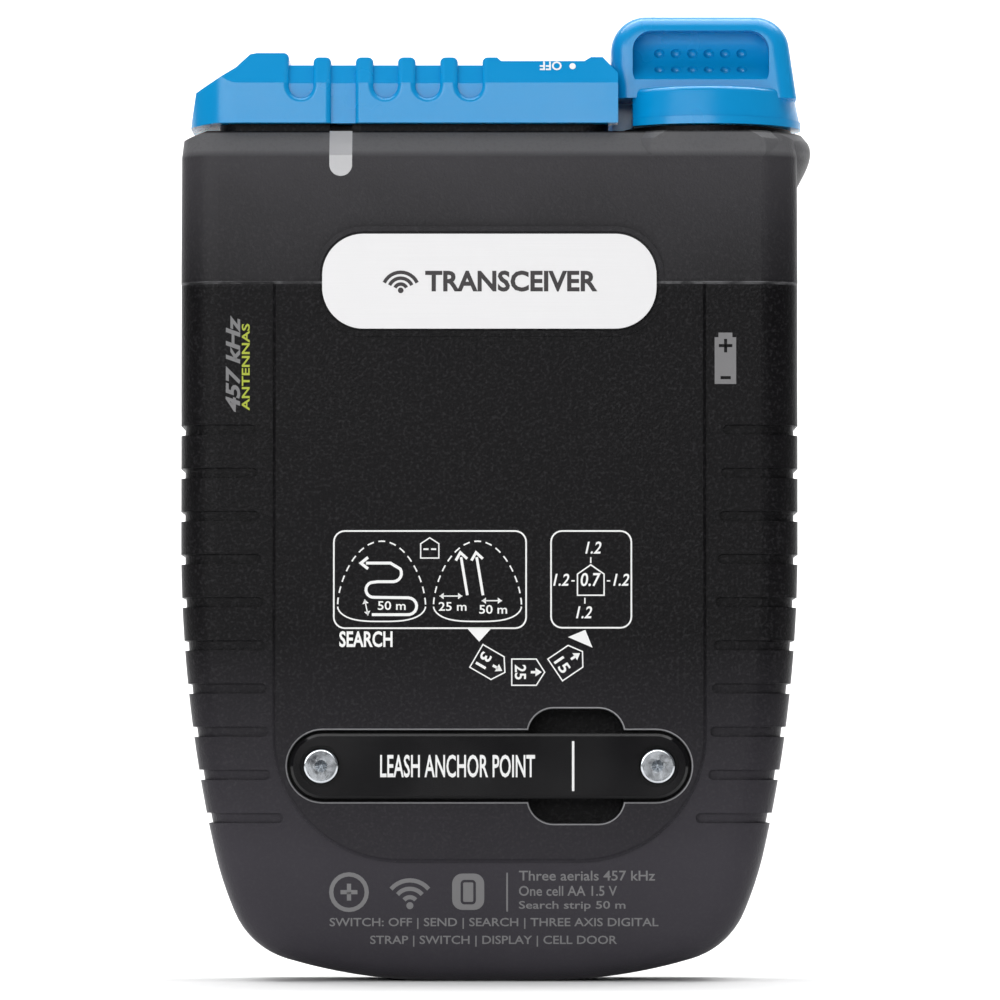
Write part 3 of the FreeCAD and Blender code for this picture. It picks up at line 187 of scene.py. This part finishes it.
# Where the case's colour and its painted light change, in metres. First, depths along Y, from the
# rear panel inwards.
SHELL_JOINT = (-0.005, 0.001)
PANEL_DEPTH = (-0.01150, -0.01125)
LIP_DEPTH = (-0.01158, -0.01142)
RECESS_DEPTH = (-0.01140, 0.0)

# Round the leash bar: how far past the bar its recess reaches, and the strip with the two wells.
RECESS_REACH = 0.0007
WELL_SIDES = (0.004, 0.0166)
WELL_HEIGHT = (0.0182, 0.036)

# Heights, from the foot up to the gap under the top cover.
FOOT_FADE = (0.041, 0.014)
CREASE_STEP = (0.0822, 0.0834)
CREASE_EDGE = (0.08262, 0.08292)
UPPER_FADE = (0.084, 0.097)
BEVEL_STEP = (0.0978, 0.0986)
COVER_GAP = (0.1007, 0.1009)

# The case's colours and the light and highlights painted on it: pairs are the two ends of a slow
# change.
CHARCOAL = ((0.0026, 0.0024, 0.0028), (0.0044, 0.0041, 0.0048))
# Painted light: the foot is paler, as if lit from the floor in front of it.
FOOT_PAINTED_LIGHT = ((0.036, 0.0333, 0.040), (0.047, 0.0437, 0.052))
# Painted light: the upper back is paler, as if lit from overhead.
UPPER_PAINTED_LIGHT = ((0.0125, 0.012, 0.0133), (0.042, 0.0403, 0.0443))
# Painted highlight on the top bevel, as if it caught the overhead light.
BEVEL_PAINTED_HIGHLIGHT = (0.115, 0.115, 0.12)
# Painted highlight: thin pale lines on the recess lips and the crease.
EDGE_PAINTED_HIGHLIGHT = (0.30, 0.30, 0.31)
SPECK_GREY = (0.06, 0.058, 0.062)
CASE_GLOSS = 0.09


def bar_recess(shader, across, height):
    """1 inside the long round-ended recess of the leash bar, and just past its lip."""
    low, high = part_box("leash_bar")
    radius = (high.z - low.z) / 2
    reach = radius + RECESS_REACH
    straight = (high.x - low.x) / 2 - radius
    from_middle = shader.math("SUBTRACT", across, (low.x + high.x) / 2)
    offset = shader.math("ABSOLUTE", from_middle, 0.0)
    past_end = shader.math("MAXIMUM", shader.math("SUBTRACT", offset, straight), 0.0)
    rise = shader.math("SUBTRACT", height, (low.z + high.z) / 2)
    squared = shader.math("ADD", shader.times(past_end, past_end), shader.times(rise, rise))
    return shader.span(squared, reach ** 2, (reach + 0.0001) ** 2, 1.0, 0.0)


def leash_wells(shader, across, height):
    """1 over the upright strip that holds the well above the leash bar and the well below it."""
    left, right = (CASE_X + side for side in WELL_SIDES)
    return shader.times(shader.within(across, left, right), shader.within(height, *WELL_HEIGHT))


def case_colour_and_painted_light(shader, cloud):
    """The case's colour: charcoal, with painted light on the upper back and the foot, and painted
    highlights on the top bevel, the recess lips and the crease.
    """
    across, depth, height = shader.axis("X"), shader.axis("Y"), shader.axis("Z")
    rear = shader.span(depth, *SHELL_JOINT, 1.0, 0.0)
    clear_of_cover = shader.times(rear, shader.span(height, *COVER_GAP, 1.0, 0.0))
    above = shader.times(clear_of_cover, shader.span(height, *CREASE_STEP, 0.0, 1.0))

    recess = shader.math(
        "MAXIMUM", bar_recess(shader, across, height), leash_wells(shader, across, height)
    )
    sunk = shader.times(recess, shader.within(depth, *RECESS_DEPTH))
    off_panel = shader.times(rear, shader.span(depth, *PANEL_DEPTH, 0.6, 1.0))
    # Painted floor light on the foot: strongest at the bottom, weaker on the panel, none in the
    # leash recess.
    below = shader.times(off_panel, shader.span(height, *FOOT_FADE, 0.0, 1.0))
    below = shader.times(below, shader.math("SUBTRACT", 1.0, sunk))

    dark = shader.blend(cloud, *CHARCOAL)
    foot = shader.blend(cloud, *FOOT_PAINTED_LIGHT)
    # Painted overhead light on the upper back: paler with height, with some random tone mixed in.
    climb = shader.math(
        "ADD", shader.span(height, *UPPER_FADE, 0.0, 0.7), shader.span(cloud, 0.3, 0.7, 0.0, 0.3)
    )
    # Painted highlight on the top bevel, laid over the upper back's colour.
    bevel_highlight = shader.span(height, *BEVEL_STEP, 0.0, 0.8)
    upper = shader.blend(bevel_highlight, shader.blend(climb, *UPPER_PAINTED_LIGHT), BEVEL_PAINTED_HIGHLIGHT)
    colour = shader.blend(below, shader.blend(above, dark, upper), foot)

    # Painted highlights: thin pale lines along the leash recess lips and, broken up by noise, along
    # the crease.
    lip = shader.times(recess, shader.within(depth, *LIP_DEPTH, 0.00002))
    crease = shader.times(rear, shader.within(height, *CREASE_EDGE, 0.00004))
    patchy = shader.span(shader.noise(400.0, 3.0), 0.4, 0.6, 0.08, 0.4)
    painted_highlight = shader.math("MAXIMUM", lip, shader.times(crease, patchy))
    return shader.blend(painted_highlight, colour, EDGE_PAINTED_HIGHLIGHT)


def case_material():
    """Matt moulded plastic with pale specks and a fine grain over its colour zones and painted
    light.
    """
    shader = Shader("case_plastic", CHARCOAL[0], 0.4, Specular_IOR_Level=CASE_GLOSS)
    cloud = shader.noise(70.0, 5.0)
    specks = shader.span(shader.noise(2600.0, 1.0), 0.5, 0.75, 0.0, 0.20)
    shader.link(shader.blend(specks, case_colour_and_painted_light(shader, cloud), SPECK_GREY), "Base Color")
    shader.link(shader.span(cloud, 0.3, 0.7, 0.32, 0.40), "Roughness")
    shader.bump(shader.noise(3600.0, 2.0), 0.5, 0.0001)
    return shader.material


def clear_material(name, colour, roughness, transmission):
    """Clear or tinted plastic and glass, with a slight waviness."""
    shader = Shader(name, colour, roughness)
    shader.set("Transmission Weight", transmission)
    shader.set("IOR", 1.49)
    shader.bump(shader.noise(900.0, 2.0), 0.15, 0.00008)
    return shader.material


MATERIALS = {
    "case": case_material(),
    "blue": moulded(
        "blue_plastic", (0.0, 0.25, 0.56), 0.24, 5200.0, 0.12, 0.05, Specular_IOR_Level=0.45
    ),
    "bar": moulded(
        "bar_plastic", (0.0022, 0.002, 0.0026), 0.13, 6000.0, 0.02, Specular_IOR_Level=0.32
    ),
    "rubber": moulded("seal_rubber", (0.016, 0.016, 0.017), 0.75, 4200.0, 0.3),
    "keys": moulded("button_rubber", (0.035, 0.035, 0.038), 0.6, 4200.0, 0.35),
    "badge": brushed("badge_metal", (0.77, 0.765, 0.77), 0.40, 0.0, (60.0, 4000.0, 9000.0)),
    "zinc": brushed("zinc_steel", (0.66, 0.69, 0.72), 0.12, 1.0, (900.0, 900.0, 900.0), 0.02),
    "inner": moulded("inner_plastic", (0.05, 0.05, 0.055), 0.5, 3000.0, 0.2),
    "brass": brushed("brass", (0.75, 0.55, 0.25), 0.3, 1.0, (3000.0, 300.0, 3000.0), 0.1),
    "copper": brushed("copper_winding", (0.62, 0.26, 0.11), 0.35, 0.8, (200.0, 200.0, 6000.0), 0.4),
    "ferrite": moulded("ferrite", (0.045, 0.043, 0.043), 0.55, 2500.0, 0.3),
    "board": moulded("board_laminate", (0.01, 0.12, 0.05), 0.3, 2500.0, 0.15),
    "chip": moulded("chip_plastic", (0.02, 0.02, 0.02), 0.45, 3000.0, 0.2),
    "cell": moulded("cell_jacket", (0.16, 0.17, 0.19), 0.3, 2500.0, 0.08),
    "white": moulded("white_plastic", (0.75, 0.75, 0.74), 0.4, 2500.0, 0.1),
    "display": moulded("display_glass", (0.33, 0.37, 0.31), 0.12, 2500.0, 0.02),
    "lock": moulded("lock_plastic", (0.03, 0.03, 0.032), 0.5, 3500.0, 0.3),
    "ink": moulded("white_ink", (0.80, 0.80, 0.79), 0.6, 5000.0, 0.15, 0.04),
    "dark_ink": moulded("dark_ink", (0.028, 0.024, 0.026), 0.6, 5000.0, 0.1, 0.04),
    "grey_ink": moulded("grey_ink", (0.17, 0.168, 0.172), 0.6, 5000.0, 0.15, 0.05),
    "lime_ink": moulded("lime_ink", (0.36, 0.42, 0.03), 0.6, 5000.0, 0.15, 0.05),
    "clear": clear_material("clear_plastic", (0.80, 0.80, 0.82), 0.15, 0.55),
    "window": clear_material("window_glass", (0.75, 0.77, 0.77), 0.03, 0.9),
    "led": clear_material("led_plastic", (0.9, 0.25, 0.15), 0.2, 0.3),
}

FINISH = {
    "case_plastic": "case", "blue_plastic": "blue",
    "seal_rubber": "rubber", "button_rubber": "keys",
    "badge_metal": "badge", "bar_plastic": "bar", "zinc_steel": "zinc", "brass": "brass",
    "clear_plastic": "clear", "window_glass": "window", "led_plastic": "led",
    "board_laminate": "board", "chip_plastic": "chip", "shield_steel": "zinc",
    "display_glass": "display", "backlight_plastic": "white", "dome_steel": "zinc",
    "ferrite": "ferrite", "copper_winding": "copper", "inner_plastic": "inner",
    "cell_jacket": "cell", "contact_steel": "zinc", "lock_plastic": "lock",
}
slot_of = {s["node"]: s["material_slot"] for s in frame["record"]["subparts"]}
for node_name, node_object in NODES.items():
    finish = MATERIALS[FINISH[slot_of[node_name]]]
    for material_slot in node_object.material_slots:
        material_slot.material = finish


# ---------------------------------------------------------------------------- printed graphics
# A shape is a pair: points in mm from the case's centre plane and base, and faces between them.
LONG_EDGE = 0.0006
FILM = 0.02
OVERPRINT = 0.04
TOWARDS_FRONT = Vector((0, 1, 0))


def surface_of(node):
    """A node's mesh, ready to be hit by rays."""
    mesh = NODES[node].data
    return BVHTree.FromPolygons([v.co for v in mesh.vertices], [p.vertices for p in mesh.polygons])


def ribbon(points, width, closed=False):
    """A flat band of even width along a line of (x, z) points, with mitred joints."""
    line = [Vector(p) for p in points]
    count = len(line)
    verts, faces = [], []
    for i, point in enumerate(line):
        before = line[i - 1] if i or closed else point
        after = line[(i + 1) % count] if i + 1 < count or closed else point
        first = (point - before).normalized() if before != point else (after - point).normalized()
        second = (after - point).normalized() if after != point else first
        side = Vector((-(first + second).y, (first + second).x)).normalized()
        reach = width / 2 / max(0.35, abs(side.dot(Vector((-first.y, first.x)))))
        verts += [point + side * reach, point - side * reach]
    for i in range(count if closed else count - 1):
        j = (i + 1) % count
        faces.append((2 * i, 2 * i + 1, 2 * j + 1, 2 * j))
    return verts, faces


def polygon(points):
    """A filled outline."""
    return [Vector(p) for p in points], [tuple(range(len(points)))]


def arc(middle_x, middle_z, radius, start, end, steps=16):
    """Points along an arc, angles in degrees from +X."""
    points = []
    for i in range(steps + 1):
        angle = math.radians(start + (end - start) * i / steps)
        points.append((middle_x + radius * math.cos(angle), middle_z + radius * math.sin(angle)))
    return points


def dot(middle_x, middle_z, radius):
    """A filled round spot."""
    return polygon(arc(middle_x, middle_z, radius, 0, 345, 15))


def frame_line(left, right, low, high, radius):
    """Corner-rounded rectangle as a closed line."""
    return (
        arc(right - radius, low + radius, radius, -90, 0, 6)
        + arc(right - radius, high - radius, radius, 0, 90, 6)
        + arc(left + radius, high - radius, radius, 90, 180, 6)
        + arc(left + radius, low + radius, radius, 180, 270, 6)
    )


def dashes(points, width, dash, gap):
    """A dashed line: bands of one length with even gaps."""
    bands = []
    run, drawn = [Vector(points[0])], 0.0
    inked = True
    for start, end in zip(points, points[1:]):
        start, end = Vector(start), Vector(end)
        span = (end - start).length
        done = 0.0
        while span - done > 1e-9:
            limit = dash if inked else gap
            step = min(limit - drawn, span - done)
            done += step
            drawn += step
            run.append(start.lerp(end, done / span))
            if limit - drawn < 1e-9:
                if inked and len(run) > 1:
                    bands.append(ribbon(run, width))
                run, drawn, inked = [run[-1]], 0.0, not inked
    if inked and len(run) > 1:
        bands.append(ribbon(run, width))
    return bands


def lettering(words, low, height, left=None, middle=None, width=None, bold=0.0, slant=0.0):
    """Words as flat outlines of one height, placed by left edge or middle, squeezed to a width."""
    curve = bpy.data.curves.new("words", "FONT")
    curve.body = words
    curve.offset = bold
    curve.shear = slant
    curve.resolution_u = 3
    holder = bpy.data.objects.new("words", curve)
    mesh = bpy.data.meshes.new_from_object(holder)
    verts = [Vector((v.co.x, v.co.y)) for v in mesh.vertices]
    faces = [tuple(p.vertices) for p in mesh.polygons]
    bpy.data.objects.remove(holder)
    bpy.data.meshes.remove(mesh)
    bpy.data.curves.remove(curve)
    x_low = min(v.x for v in verts)
    x_high = max(v.x for v in verts)
    y_low = min(v.y for v in verts)
    y_high = max(v.y for v in verts)
    tall = height / (y_high - y_low)
    wide = width / (x_high - x_low) if width else tall
    span = wide * (x_high - x_low)
    start = left if left is not None else middle - span / 2
    placed = [Vector(((v.x - x_low) * wide + start, (v.y - y_low) * tall + low)) for v in verts]
    return placed, faces


def printed(name, shapes, node, finish, thickness=FILM, fine=False):
    """Shapes laid on a node's rear surface as a thin film; fine ones follow its curves closely."""
    surface = surface_of(node)
    sheet = bmesh.new()
    for verts, faces in shapes:
        made = [sheet.verts.new((CASE_X + v.x * MM, 0.0, v.y * MM)) for v in verts]
        for face in faces:
            sheet.faces.new([made[i] for i in face])
    bmesh.ops.remove_doubles(sheet, verts=sheet.verts, dist=1e-7)
    if fine:
        bmesh.ops.triangulate(sheet, faces=sheet.faces)
        long_edges = [e for e in sheet.edges if e.calc_length() > LONG_EDGE]
        bmesh.ops.subdivide_edges(sheet, edges=long_edges, cuts=3)
        bmesh.ops.triangulate(sheet, faces=sheet.faces)
    for vert in sheet.verts:
        start = Vector((vert.co.x, cad_box[0][1] - 0.05, vert.co.z))
        hit = surface.ray_cast(start, TOWARDS_FRONT)[0]
        if hit is None:
            raise RuntimeError(f"{name} misses {node}")
        vert.co.y = hit.y - thickness * MM
    bmesh.ops.recalc_face_normals(sheet, faces=sheet.faces)
    for face in sheet.faces:
        if face.normal.y > 0:
            face.normal_flip()
    mesh = bpy.data.meshes.new(name)
    sheet.to_mesh(mesh)
    sheet.free()
    film = bpy.data.objects.new(name, mesh)
    bpy.context.scene.collection.objects.link(film)
    solid = film.modifiers.new("film", "SOLIDIFY")
    solid.thickness = thickness * MM * 0.9
    solid.offset = -1.0
    mesh.materials.append(MATERIALS[finish])
    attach(film, "case")


def badge_print():
    """Generic mark and words on the badge: three nested arcs and the object's kind."""
    middle = (badge_low.z + badge_high.z) / 2 / MM
    mark_x, mark_z = -10.5, middle - 1.1
    shapes = [dot(mark_x, mark_z, 0.34)]
    for radius in (0.75, 1.45, 2.15):
        shapes.append(ribbon(arc(mark_x, mark_z, radius, 25, 155, 12), 0.42))
    shapes.append(lettering("TRANSCEIVER", middle - 1.25, 2.5, left=-7.6, width=20.4, bold=0.03))
    printed("badge_print", shapes, "badge_plate", "dark_ink")


def bar_print():
    """Words and a divider on the leash bar."""
    low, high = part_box("leash_bar")
    middle = (low.z + high.z) / 2 / MM
    words = lettering("LEASH ANCHOR POINT", middle - 1.35, 2.7, left=-12.9, width=18.3, bold=0.015)
    divider = ribbon([(9.9, middle - 2.95), (9.9, middle + 2.95)], 0.28)
    printed("bar_print", [words, divider], "leash_bar", "ink")


def arrow_head(tip, direction, length, width):
    """Filled triangle that points along a direction."""
    tip, along = Vector(tip), Vector(direction).normalized()
    side = Vector((-along.y, along.x))
    back = tip - along * length
    return polygon([tip, back + side * width / 2, back - side * width / 2])


def open_arrow(tip, direction, size, width):
    """Arrow head of two strokes that meet at the tip."""
    tip, along = Vector(tip), Vector(direction).normalized()
    side = Vector((-along.y, along.x))
    back = tip - along * size
    return ribbon([back + side * size * 0.8, tip, back - side * size * 0.8], width)


def bar_with_heads(start, end, width):
    """Dimension line: a stroke with a small filled head at each end."""
    start, end = Vector(start), Vector(end)
    along = end - start
    heads = [arrow_head(start, -along, 0.5, 0.75), arrow_head(end, along, 0.5, 0.75)]
    return [ribbon([start, end], width)] + heads


def house(middle_x, middle_z, width, height, roof):
    """Outline of a plate with a pointed top."""
    half = width / 2
    low, eaves = middle_z - height / 2, middle_z + height / 2 - roof
    return [
        (middle_x - half, low), (middle_x + half, low), (middle_x + half, eaves),
        (middle_x, middle_z + height / 2), (middle_x - half, eaves),
    ]


def lobe(middle_x, base_z, half_width, height):
    """One reception lobe: a solid round foot and a dashed bell above it."""
    line = 0.17
    bell_steps, foot_steps = 32, 24
    foot_depth, foot_gap = 1.75, 0.25
    bell = []
    for i in range(bell_steps + 1):
        angle = math.pi * i / bell_steps
        rise = height * math.sin(angle) ** 1.25
        bell.append((middle_x + half_width * math.cos(angle), base_z + rise))
    foot = []
    for i in range(foot_steps + 1):
        across = math.cos(math.pi + math.pi * i / foot_steps)
        down = foot_depth * (1 - abs(across) ** 3.2) ** 0.55
        foot.append((middle_x + half_width * across, base_z - foot_gap - down))
    return dashes(bell, line, 0.8, 0.55) + [ribbon(foot, line)]


def search_path():
    """The winding walk through a search strip, ending in an arrow."""
    stroke = 0.34
    path = [(-13.9, 43.4), (-9.9, 43.4)] + arc(-9.6, 44.4, 1.0, -80, 90, 8) + [(-13.6, 45.45)]
    path += arc(-13.7, 46.35, 0.9, 260, 110, 8) + [(-13.2, 47.3), (-11.4, 47.3)]
    path += arc(-11.4, 48.3, 1.0, -85, 30, 6) + [(-11.7, 49.5), (-14.6, 49.5)]
    return [ribbon(path, stroke), open_arrow((-15.2, 49.5), (-1, 0), 0.85, stroke)]


def search_strips():
    """Two reception lobes with the walk, two parallel arrows and the widths of the strips."""
    shapes = lobe(-12.75, 44.6, 5.2, 7.5) + lobe(-1.4, 44.6, 5.2, 7.5) + search_path()
    stroke = 0.32
    for foot_x in (-2.6, -0.75):
        shapes.append(ribbon([(foot_x, 45.7), (foot_x - 0.75, 50.2)], stroke))
        shapes.append(open_arrow((foot_x - 0.83, 50.75), (-0.16, 1), 0.85, stroke))
    widths = (
        ((-14.75, 45.2), (-14.35, 43.3)),
        ((-5.9, 45.6), (-3.2, 45.6)),
        ((-0.9, 45.05), (1.5, 45.05)),
    )
    for start, end in widths:
        shapes += bar_with_heads(start, end, 0.14)
    captions = (("50 m", 43.95, -13.2), ("25 m", 43.85, -6.0), ("50 m", 43.5, -1.2))
    for words, low, left in captions:
        shapes.append(lettering(words, low, 1.05, left=left, width=3.3, bold=0.012))
    shapes.append(ribbon(house(-7.05, 51.3, 2.15, 2.4, 0.7), 0.15, closed=True))
    for middle in (-7.5, -6.6):
        shapes.append(ribbon([(middle - 0.3, 51.15), (middle + 0.3, 51.15)], 0.2))
    return shapes


def search_cross():
    """The fine search cross: a distance in a pointed plate, with four larger ones round it."""
    stroke = 0.16
    shapes = [ribbon(house(12.0, 47.5, 3.15, 3.6, 1.1), stroke, closed=True)]
    shapes.append(lettering("0.7", 46.75, 1.6, middle=12.0, width=2.4, bold=0.015, slant=0.12))
    for x, low in ((12.3, 50.6), (11.2, 42.95), (8.5, 46.8), (15.6, 46.8)):
        shapes.append(lettering("1.2", low, 1.45, middle=x, width=1.9, bold=0.015, slant=0.25))
    for start, end in (
        ((12.0, 49.5), (12.0, 50.2)), ((11.3, 44.7), (11.3, 45.4)),
        ((9.7, 47.4), (10.1, 47.4)), ((13.9, 47.4), (14.3, 47.4)),
    ):
        shapes.append(ribbon([start, end], stroke))
    return shapes


def search_diagram():
    """Two framed pictures, of the search strips and the fine search, with a caption."""
    frame_stroke, corner = 0.19, 1.3
    shapes = [
        ribbon(frame_line(-18.4, 4.35, 41.8, 53.3, corner), frame_stroke, closed=True),
        ribbon(frame_line(7.3, 16.8, 41.85, 53.3, corner), frame_stroke, closed=True),
    ]
    shapes += search_strips() + search_cross()
    shapes.append(lettering("SEARCH", 39.55, 1.9, left=-17.75, width=6.3, bold=0.025))
    shapes.append(polygon([(-2.65, 41.8), (0.25, 41.8), (-1.2, 40.2)]))
    shapes.append(polygon([(9.3, 40.75), (11.35, 41.6), (12.2, 39.5)]))
    printed("search_diagram", shapes, "rear_cover", "ink")


def moved(shape, turn, shift=(0.0, 0.0)):
    """A shape turned about the origin, in degrees, and then shifted."""
    spin = Matrix.Rotation(math.radians(turn), 2)
    verts, faces = shape
    return [spin @ Vector(v) + Vector(shift) for v in verts], faces


def distance_tags():
    """Three direction plates along a curve, each with a distance and an arrow."""
    plate = [(-1.95, -1.55), (0.95, -1.55), (1.95, 0.0), (0.95, 1.55), (-1.95, 1.55)]
    tags = ((0.15, 37.55, 30, "31"), (4.6, 36.6, 0, "25"), (9.4, 37.95, -34, "15"))
    shapes = []
    for x, z, turn, number in tags:
        distance = lettering(number, -0.75, 1.35, middle=0.0, width=1.75, bold=0.02)
        flat = [
            ribbon(plate, 0.15, closed=True),
            moved(distance, -90, (-0.85, 0.0)),
            ribbon([(0.3, 0.0), (1.0, 0.0)], 0.3),
            arrow_head((1.6, 0.0), (1, 0), 0.75, 1.0),
        ]
        shapes += [moved(shape, -turn, (x, z)) for shape in flat]
    printed("distance_tags", shapes, "rear_cover", "ink")


def upright_words(words, height, length, base_x, low, bold, slant=0.0):
    """Words that read upwards: the line's base at base_x, starting at low."""
    verts, faces = lettering(words, 0.0, height, left=0.0, width=length, bold=bold, slant=slant)
    return [Vector((base_x - v.y, low + v.x)) for v in verts], faces


def side_words():
    """Upright words on the left flank, and the cell's outline on the right one."""
    lime = [upright_words("ANTENNAS", 0.95, 10.3, -28.4, 67.6, 0.02)]
    printed("side_words_lime", lime, "rear_cover", "lime_ink", fine=True)
    grey = [upright_words("457 kHz", 1.75, 11.5, -29.5, 67.4, 0.03, 0.25), cell_outline()]
    printed("side_words_grey", grey, "rear_cover", "grey_ink", fine=True)


def cell_outline():
    """A battery cell, filled, with its cap."""
    left, right, low, high = 26.7, 29.25, 70.75, 76.3
    cap_left, cap_right, cap_top = 27.15, 28.8, high + 0.55
    return polygon([
        (left, low), (right, low), (right, high), (cap_right, high),
        (cap_right, cap_top), (cap_left, cap_top), (cap_left, high), (left, high),
    ])


def cell_signs():
    """Plus and minus, in the case's colour, over the cell's outline."""
    stroke = 0.36
    signs = [
        ribbon([(27.2, 75.3), (28.8, 75.3)], stroke),
        ribbon([(28.0, 76.1), (28.0, 74.5)], stroke),
        ribbon([(27.4, 71.5), (28.6, 71.5)], stroke),
    ]
    printed("cell_signs", signs, "rear_cover", "case", OVERPRINT, fine=True)


def base_pictograms():
    """A plus in a circle, three arcs over a dot, and a filled plate, with a divider after them."""
    stroke, middle_z = 0.5, 10.6
    plus_x, plus_reach = -16.6, 1.0
    arcs_x, arcs_z = -9.4, 9.1
    shapes = [
        ribbon(arc(plus_x, middle_z, 2.1, 0, 345, 23), stroke, closed=True),
        ribbon([(plus_x - plus_reach, middle_z), (plus_x + plus_reach, middle_z)], stroke),
        ribbon([(plus_x, middle_z - plus_reach), (plus_x, middle_z + plus_reach)], stroke),
    ]
    for radius in (0.9, 1.9, 2.9):
        shapes.append(ribbon(arc(arcs_x, arcs_z, radius, 40, 140, 10), stroke))
    shapes.append(dot(arcs_x, arcs_z - 0.1, 0.42))
    shapes.append(polygon(frame_line(-4.4, -0.6, 8.5, 12.8, 1.2)))
    shapes.append(ribbon([(2.1, 8.3), (2.1, 12.9)], 0.2))
    return shapes


def base_words():
    """Generic grey lines and pictograms near the bottom edge."""
    shapes = base_pictograms()
    rows = (
        ("Three aerials 457 kHz", 11.95, 16.1), ("One cell AA 1.5 V", 10.15, 11.6),
        ("Search strip 50 m", 8.35, 12.6),
    )
    for words, low, width in rows:
        shapes.append(lettering(words, low, 1.2, left=3.5, width=width, bold=0.01))
    lines = (
        ("SWITCH: OFF | SEND | SEARCH | THREE AXIS DIGITAL", 6.25, -18.9, 38.9),
        ("STRAP | SWITCH | DISPLAY | CELL DOOR", 4.15, -14.1, 29.2),
    )
    for words, low, left, width in lines:
        shapes.append(lettering(words, low, 1.3, left=left, width=width, bold=0.01))
    printed("base_words", shapes, "rear_cover", "grey_ink", fine=True)
    glyph = ribbon(frame_line(-3.25, -1.75, 9.3, 11.9, 0.3), 0.3, closed=True)
    printed("base_glyph", [glyph], "rear_cover", "case", OVERPRINT, fine=True)


def off_mark():
    """OFF, upside down, and a dot on the top cover's rear facet."""
    words = lettering("OFF", 0.0, 1.1, left=0.0, width=2.6, bold=0.02)
    shapes = [moved(words, 180, (8.6, 109.35)), dot(9.9, 108.75, 0.38)]
    printed("off_mark", shapes, "top_cover", "ink", fine=True)


badge_print()
bar_print()
search_diagram()
distance_tags()
side_words()
cell_signs()
base_words()
off_mark()


# --------------------------------------------------------------------------- stage and camera
FLOOR_FRONT = -3.0
FLOOR_DEPTH = 1.3
WALL_CURVE = 0.5
WALL_HEIGHT = 2.4
STAGE_HALF = 3.0
CURVE_STEPS = 16


def matt_white(name, level):
    """Even pale paint."""
    shader = Shader(name, (level, level, level), 0.9)
    shader.link(shader.blend(shader.noise(3.0), (level,) * 3, (level * 0.98,) * 3), "Base Color")
    return shader.material


def backdrop():
    """A pale floor that curves up into a wall well behind the object."""
    profile = [(FLOOR_FRONT, 0.0)]
    for i in range(CURVE_STEPS + 1):
        angle = math.pi / 2 * i / CURVE_STEPS
        y = FLOOR_DEPTH + WALL_CURVE * math.sin(angle)
        profile.append((y, WALL_CURVE - WALL_CURVE * math.cos(angle)))
    profile.append((FLOOR_DEPTH + WALL_CURVE, WALL_HEIGHT))
    floor_z = cad_box[0][2]
    verts, faces = [], []
    for y, z in profile:
        verts += [(-STAGE_HALF, y, floor_z + z), (STAGE_HALF, y, floor_z + z)]
    for i in range(len(profile) - 1):
        faces.append((2 * i, 2 * i + 1, 2 * i + 3, 2 * i + 2))
    mesh = bpy.data.meshes.new("backdrop")
    mesh.from_pydata(verts, [], faces)
    mesh.polygons.foreach_set("use_smooth", [True] * len(faces))
    mesh.materials.append(matt_white("backdrop_white", 0.86))
    sheet = bpy.data.objects.new("backdrop", mesh)
    bpy.context.scene.collection.objects.link(sheet)


def soft_box(name, place, aim, size, power):
    """A rectangular area light pointed at a place."""
    data = bpy.data.lights.new(name, "AREA")
    data.shape = "RECTANGLE"
    data.size, data.size_y = size
    data.energy = power
    lamp = bpy.data.objects.new(name, data)
    lamp.visible_camera = False
    bpy.context.scene.collection.objects.link(lamp)
    lamp.location = place
    lamp.rotation_euler = (Vector(aim) - Vector(place)).to_track_quat("-Z", "Y").to_euler()


def aimed_box(name, azimuth, elevation, distance, size, power):
    """A soft box at an azimuth and elevation in degrees; 0 and 0 is the camera's side, level."""
    turn, rise = math.radians(azimuth), math.radians(elevation)
    middle = Vector((CASE_X, 0.0, 0.06))
    level = math.cos(rise)
    towards = Vector((math.sin(turn) * level, -math.cos(turn) * level, math.sin(rise)))
    soft_box(name, middle + towards * distance, middle, size, power)


def lights():
    """A broad box at the front left, one overhead, one that lights the wall, and a dim room."""
    aimed_box("front_box", -20, 15.5, 1.4, (1.5, 0.55), 11.0)
    aimed_box("top_box", 0, 86, 0.75, (1.0, 0.4), 4.2)
    soft_box("wall_box", (0.0, 0.6, 1.5), (0.0, 1.5, 0.1), (2.6, 0.6), 52.0)
    world = bpy.data.worlds.new("studio")
    world.use_nodes = True
    room = world.node_tree.nodes["Background"]
    room.inputs["Color"].default_value = (0.95, 0.96, 1.0, 1.0)
    room.inputs["Strength"].default_value = 0.15
    bpy.context.scene.world = world


def camera():
    """Level with the lower half of the object, and far enough back for little perspective."""
    distance, height, frame_width = 0.85, 0.026, 0.12
    aim = Vector((CASE_X + 0.00126, 0.0, 0.0574))
    data = bpy.data.cameras.new("camera")
    data.sensor_width = 36.0
    data.lens = data.sensor_width * math.hypot(distance, aim.z - height) / frame_width
    data.clip_end = 20.0
    view = bpy.data.objects.new("camera", data)
    bpy.context.scene.collection.objects.link(view)
    view.location = (aim.x, -distance, height)
    view.rotation_euler = (aim - view.location).to_track_quat("-Z", "Y").to_euler()
    bpy.context.scene.camera = view


backdrop()
lights()
camera()
bpy.context.scene.view_settings.view_transform = "Standard"
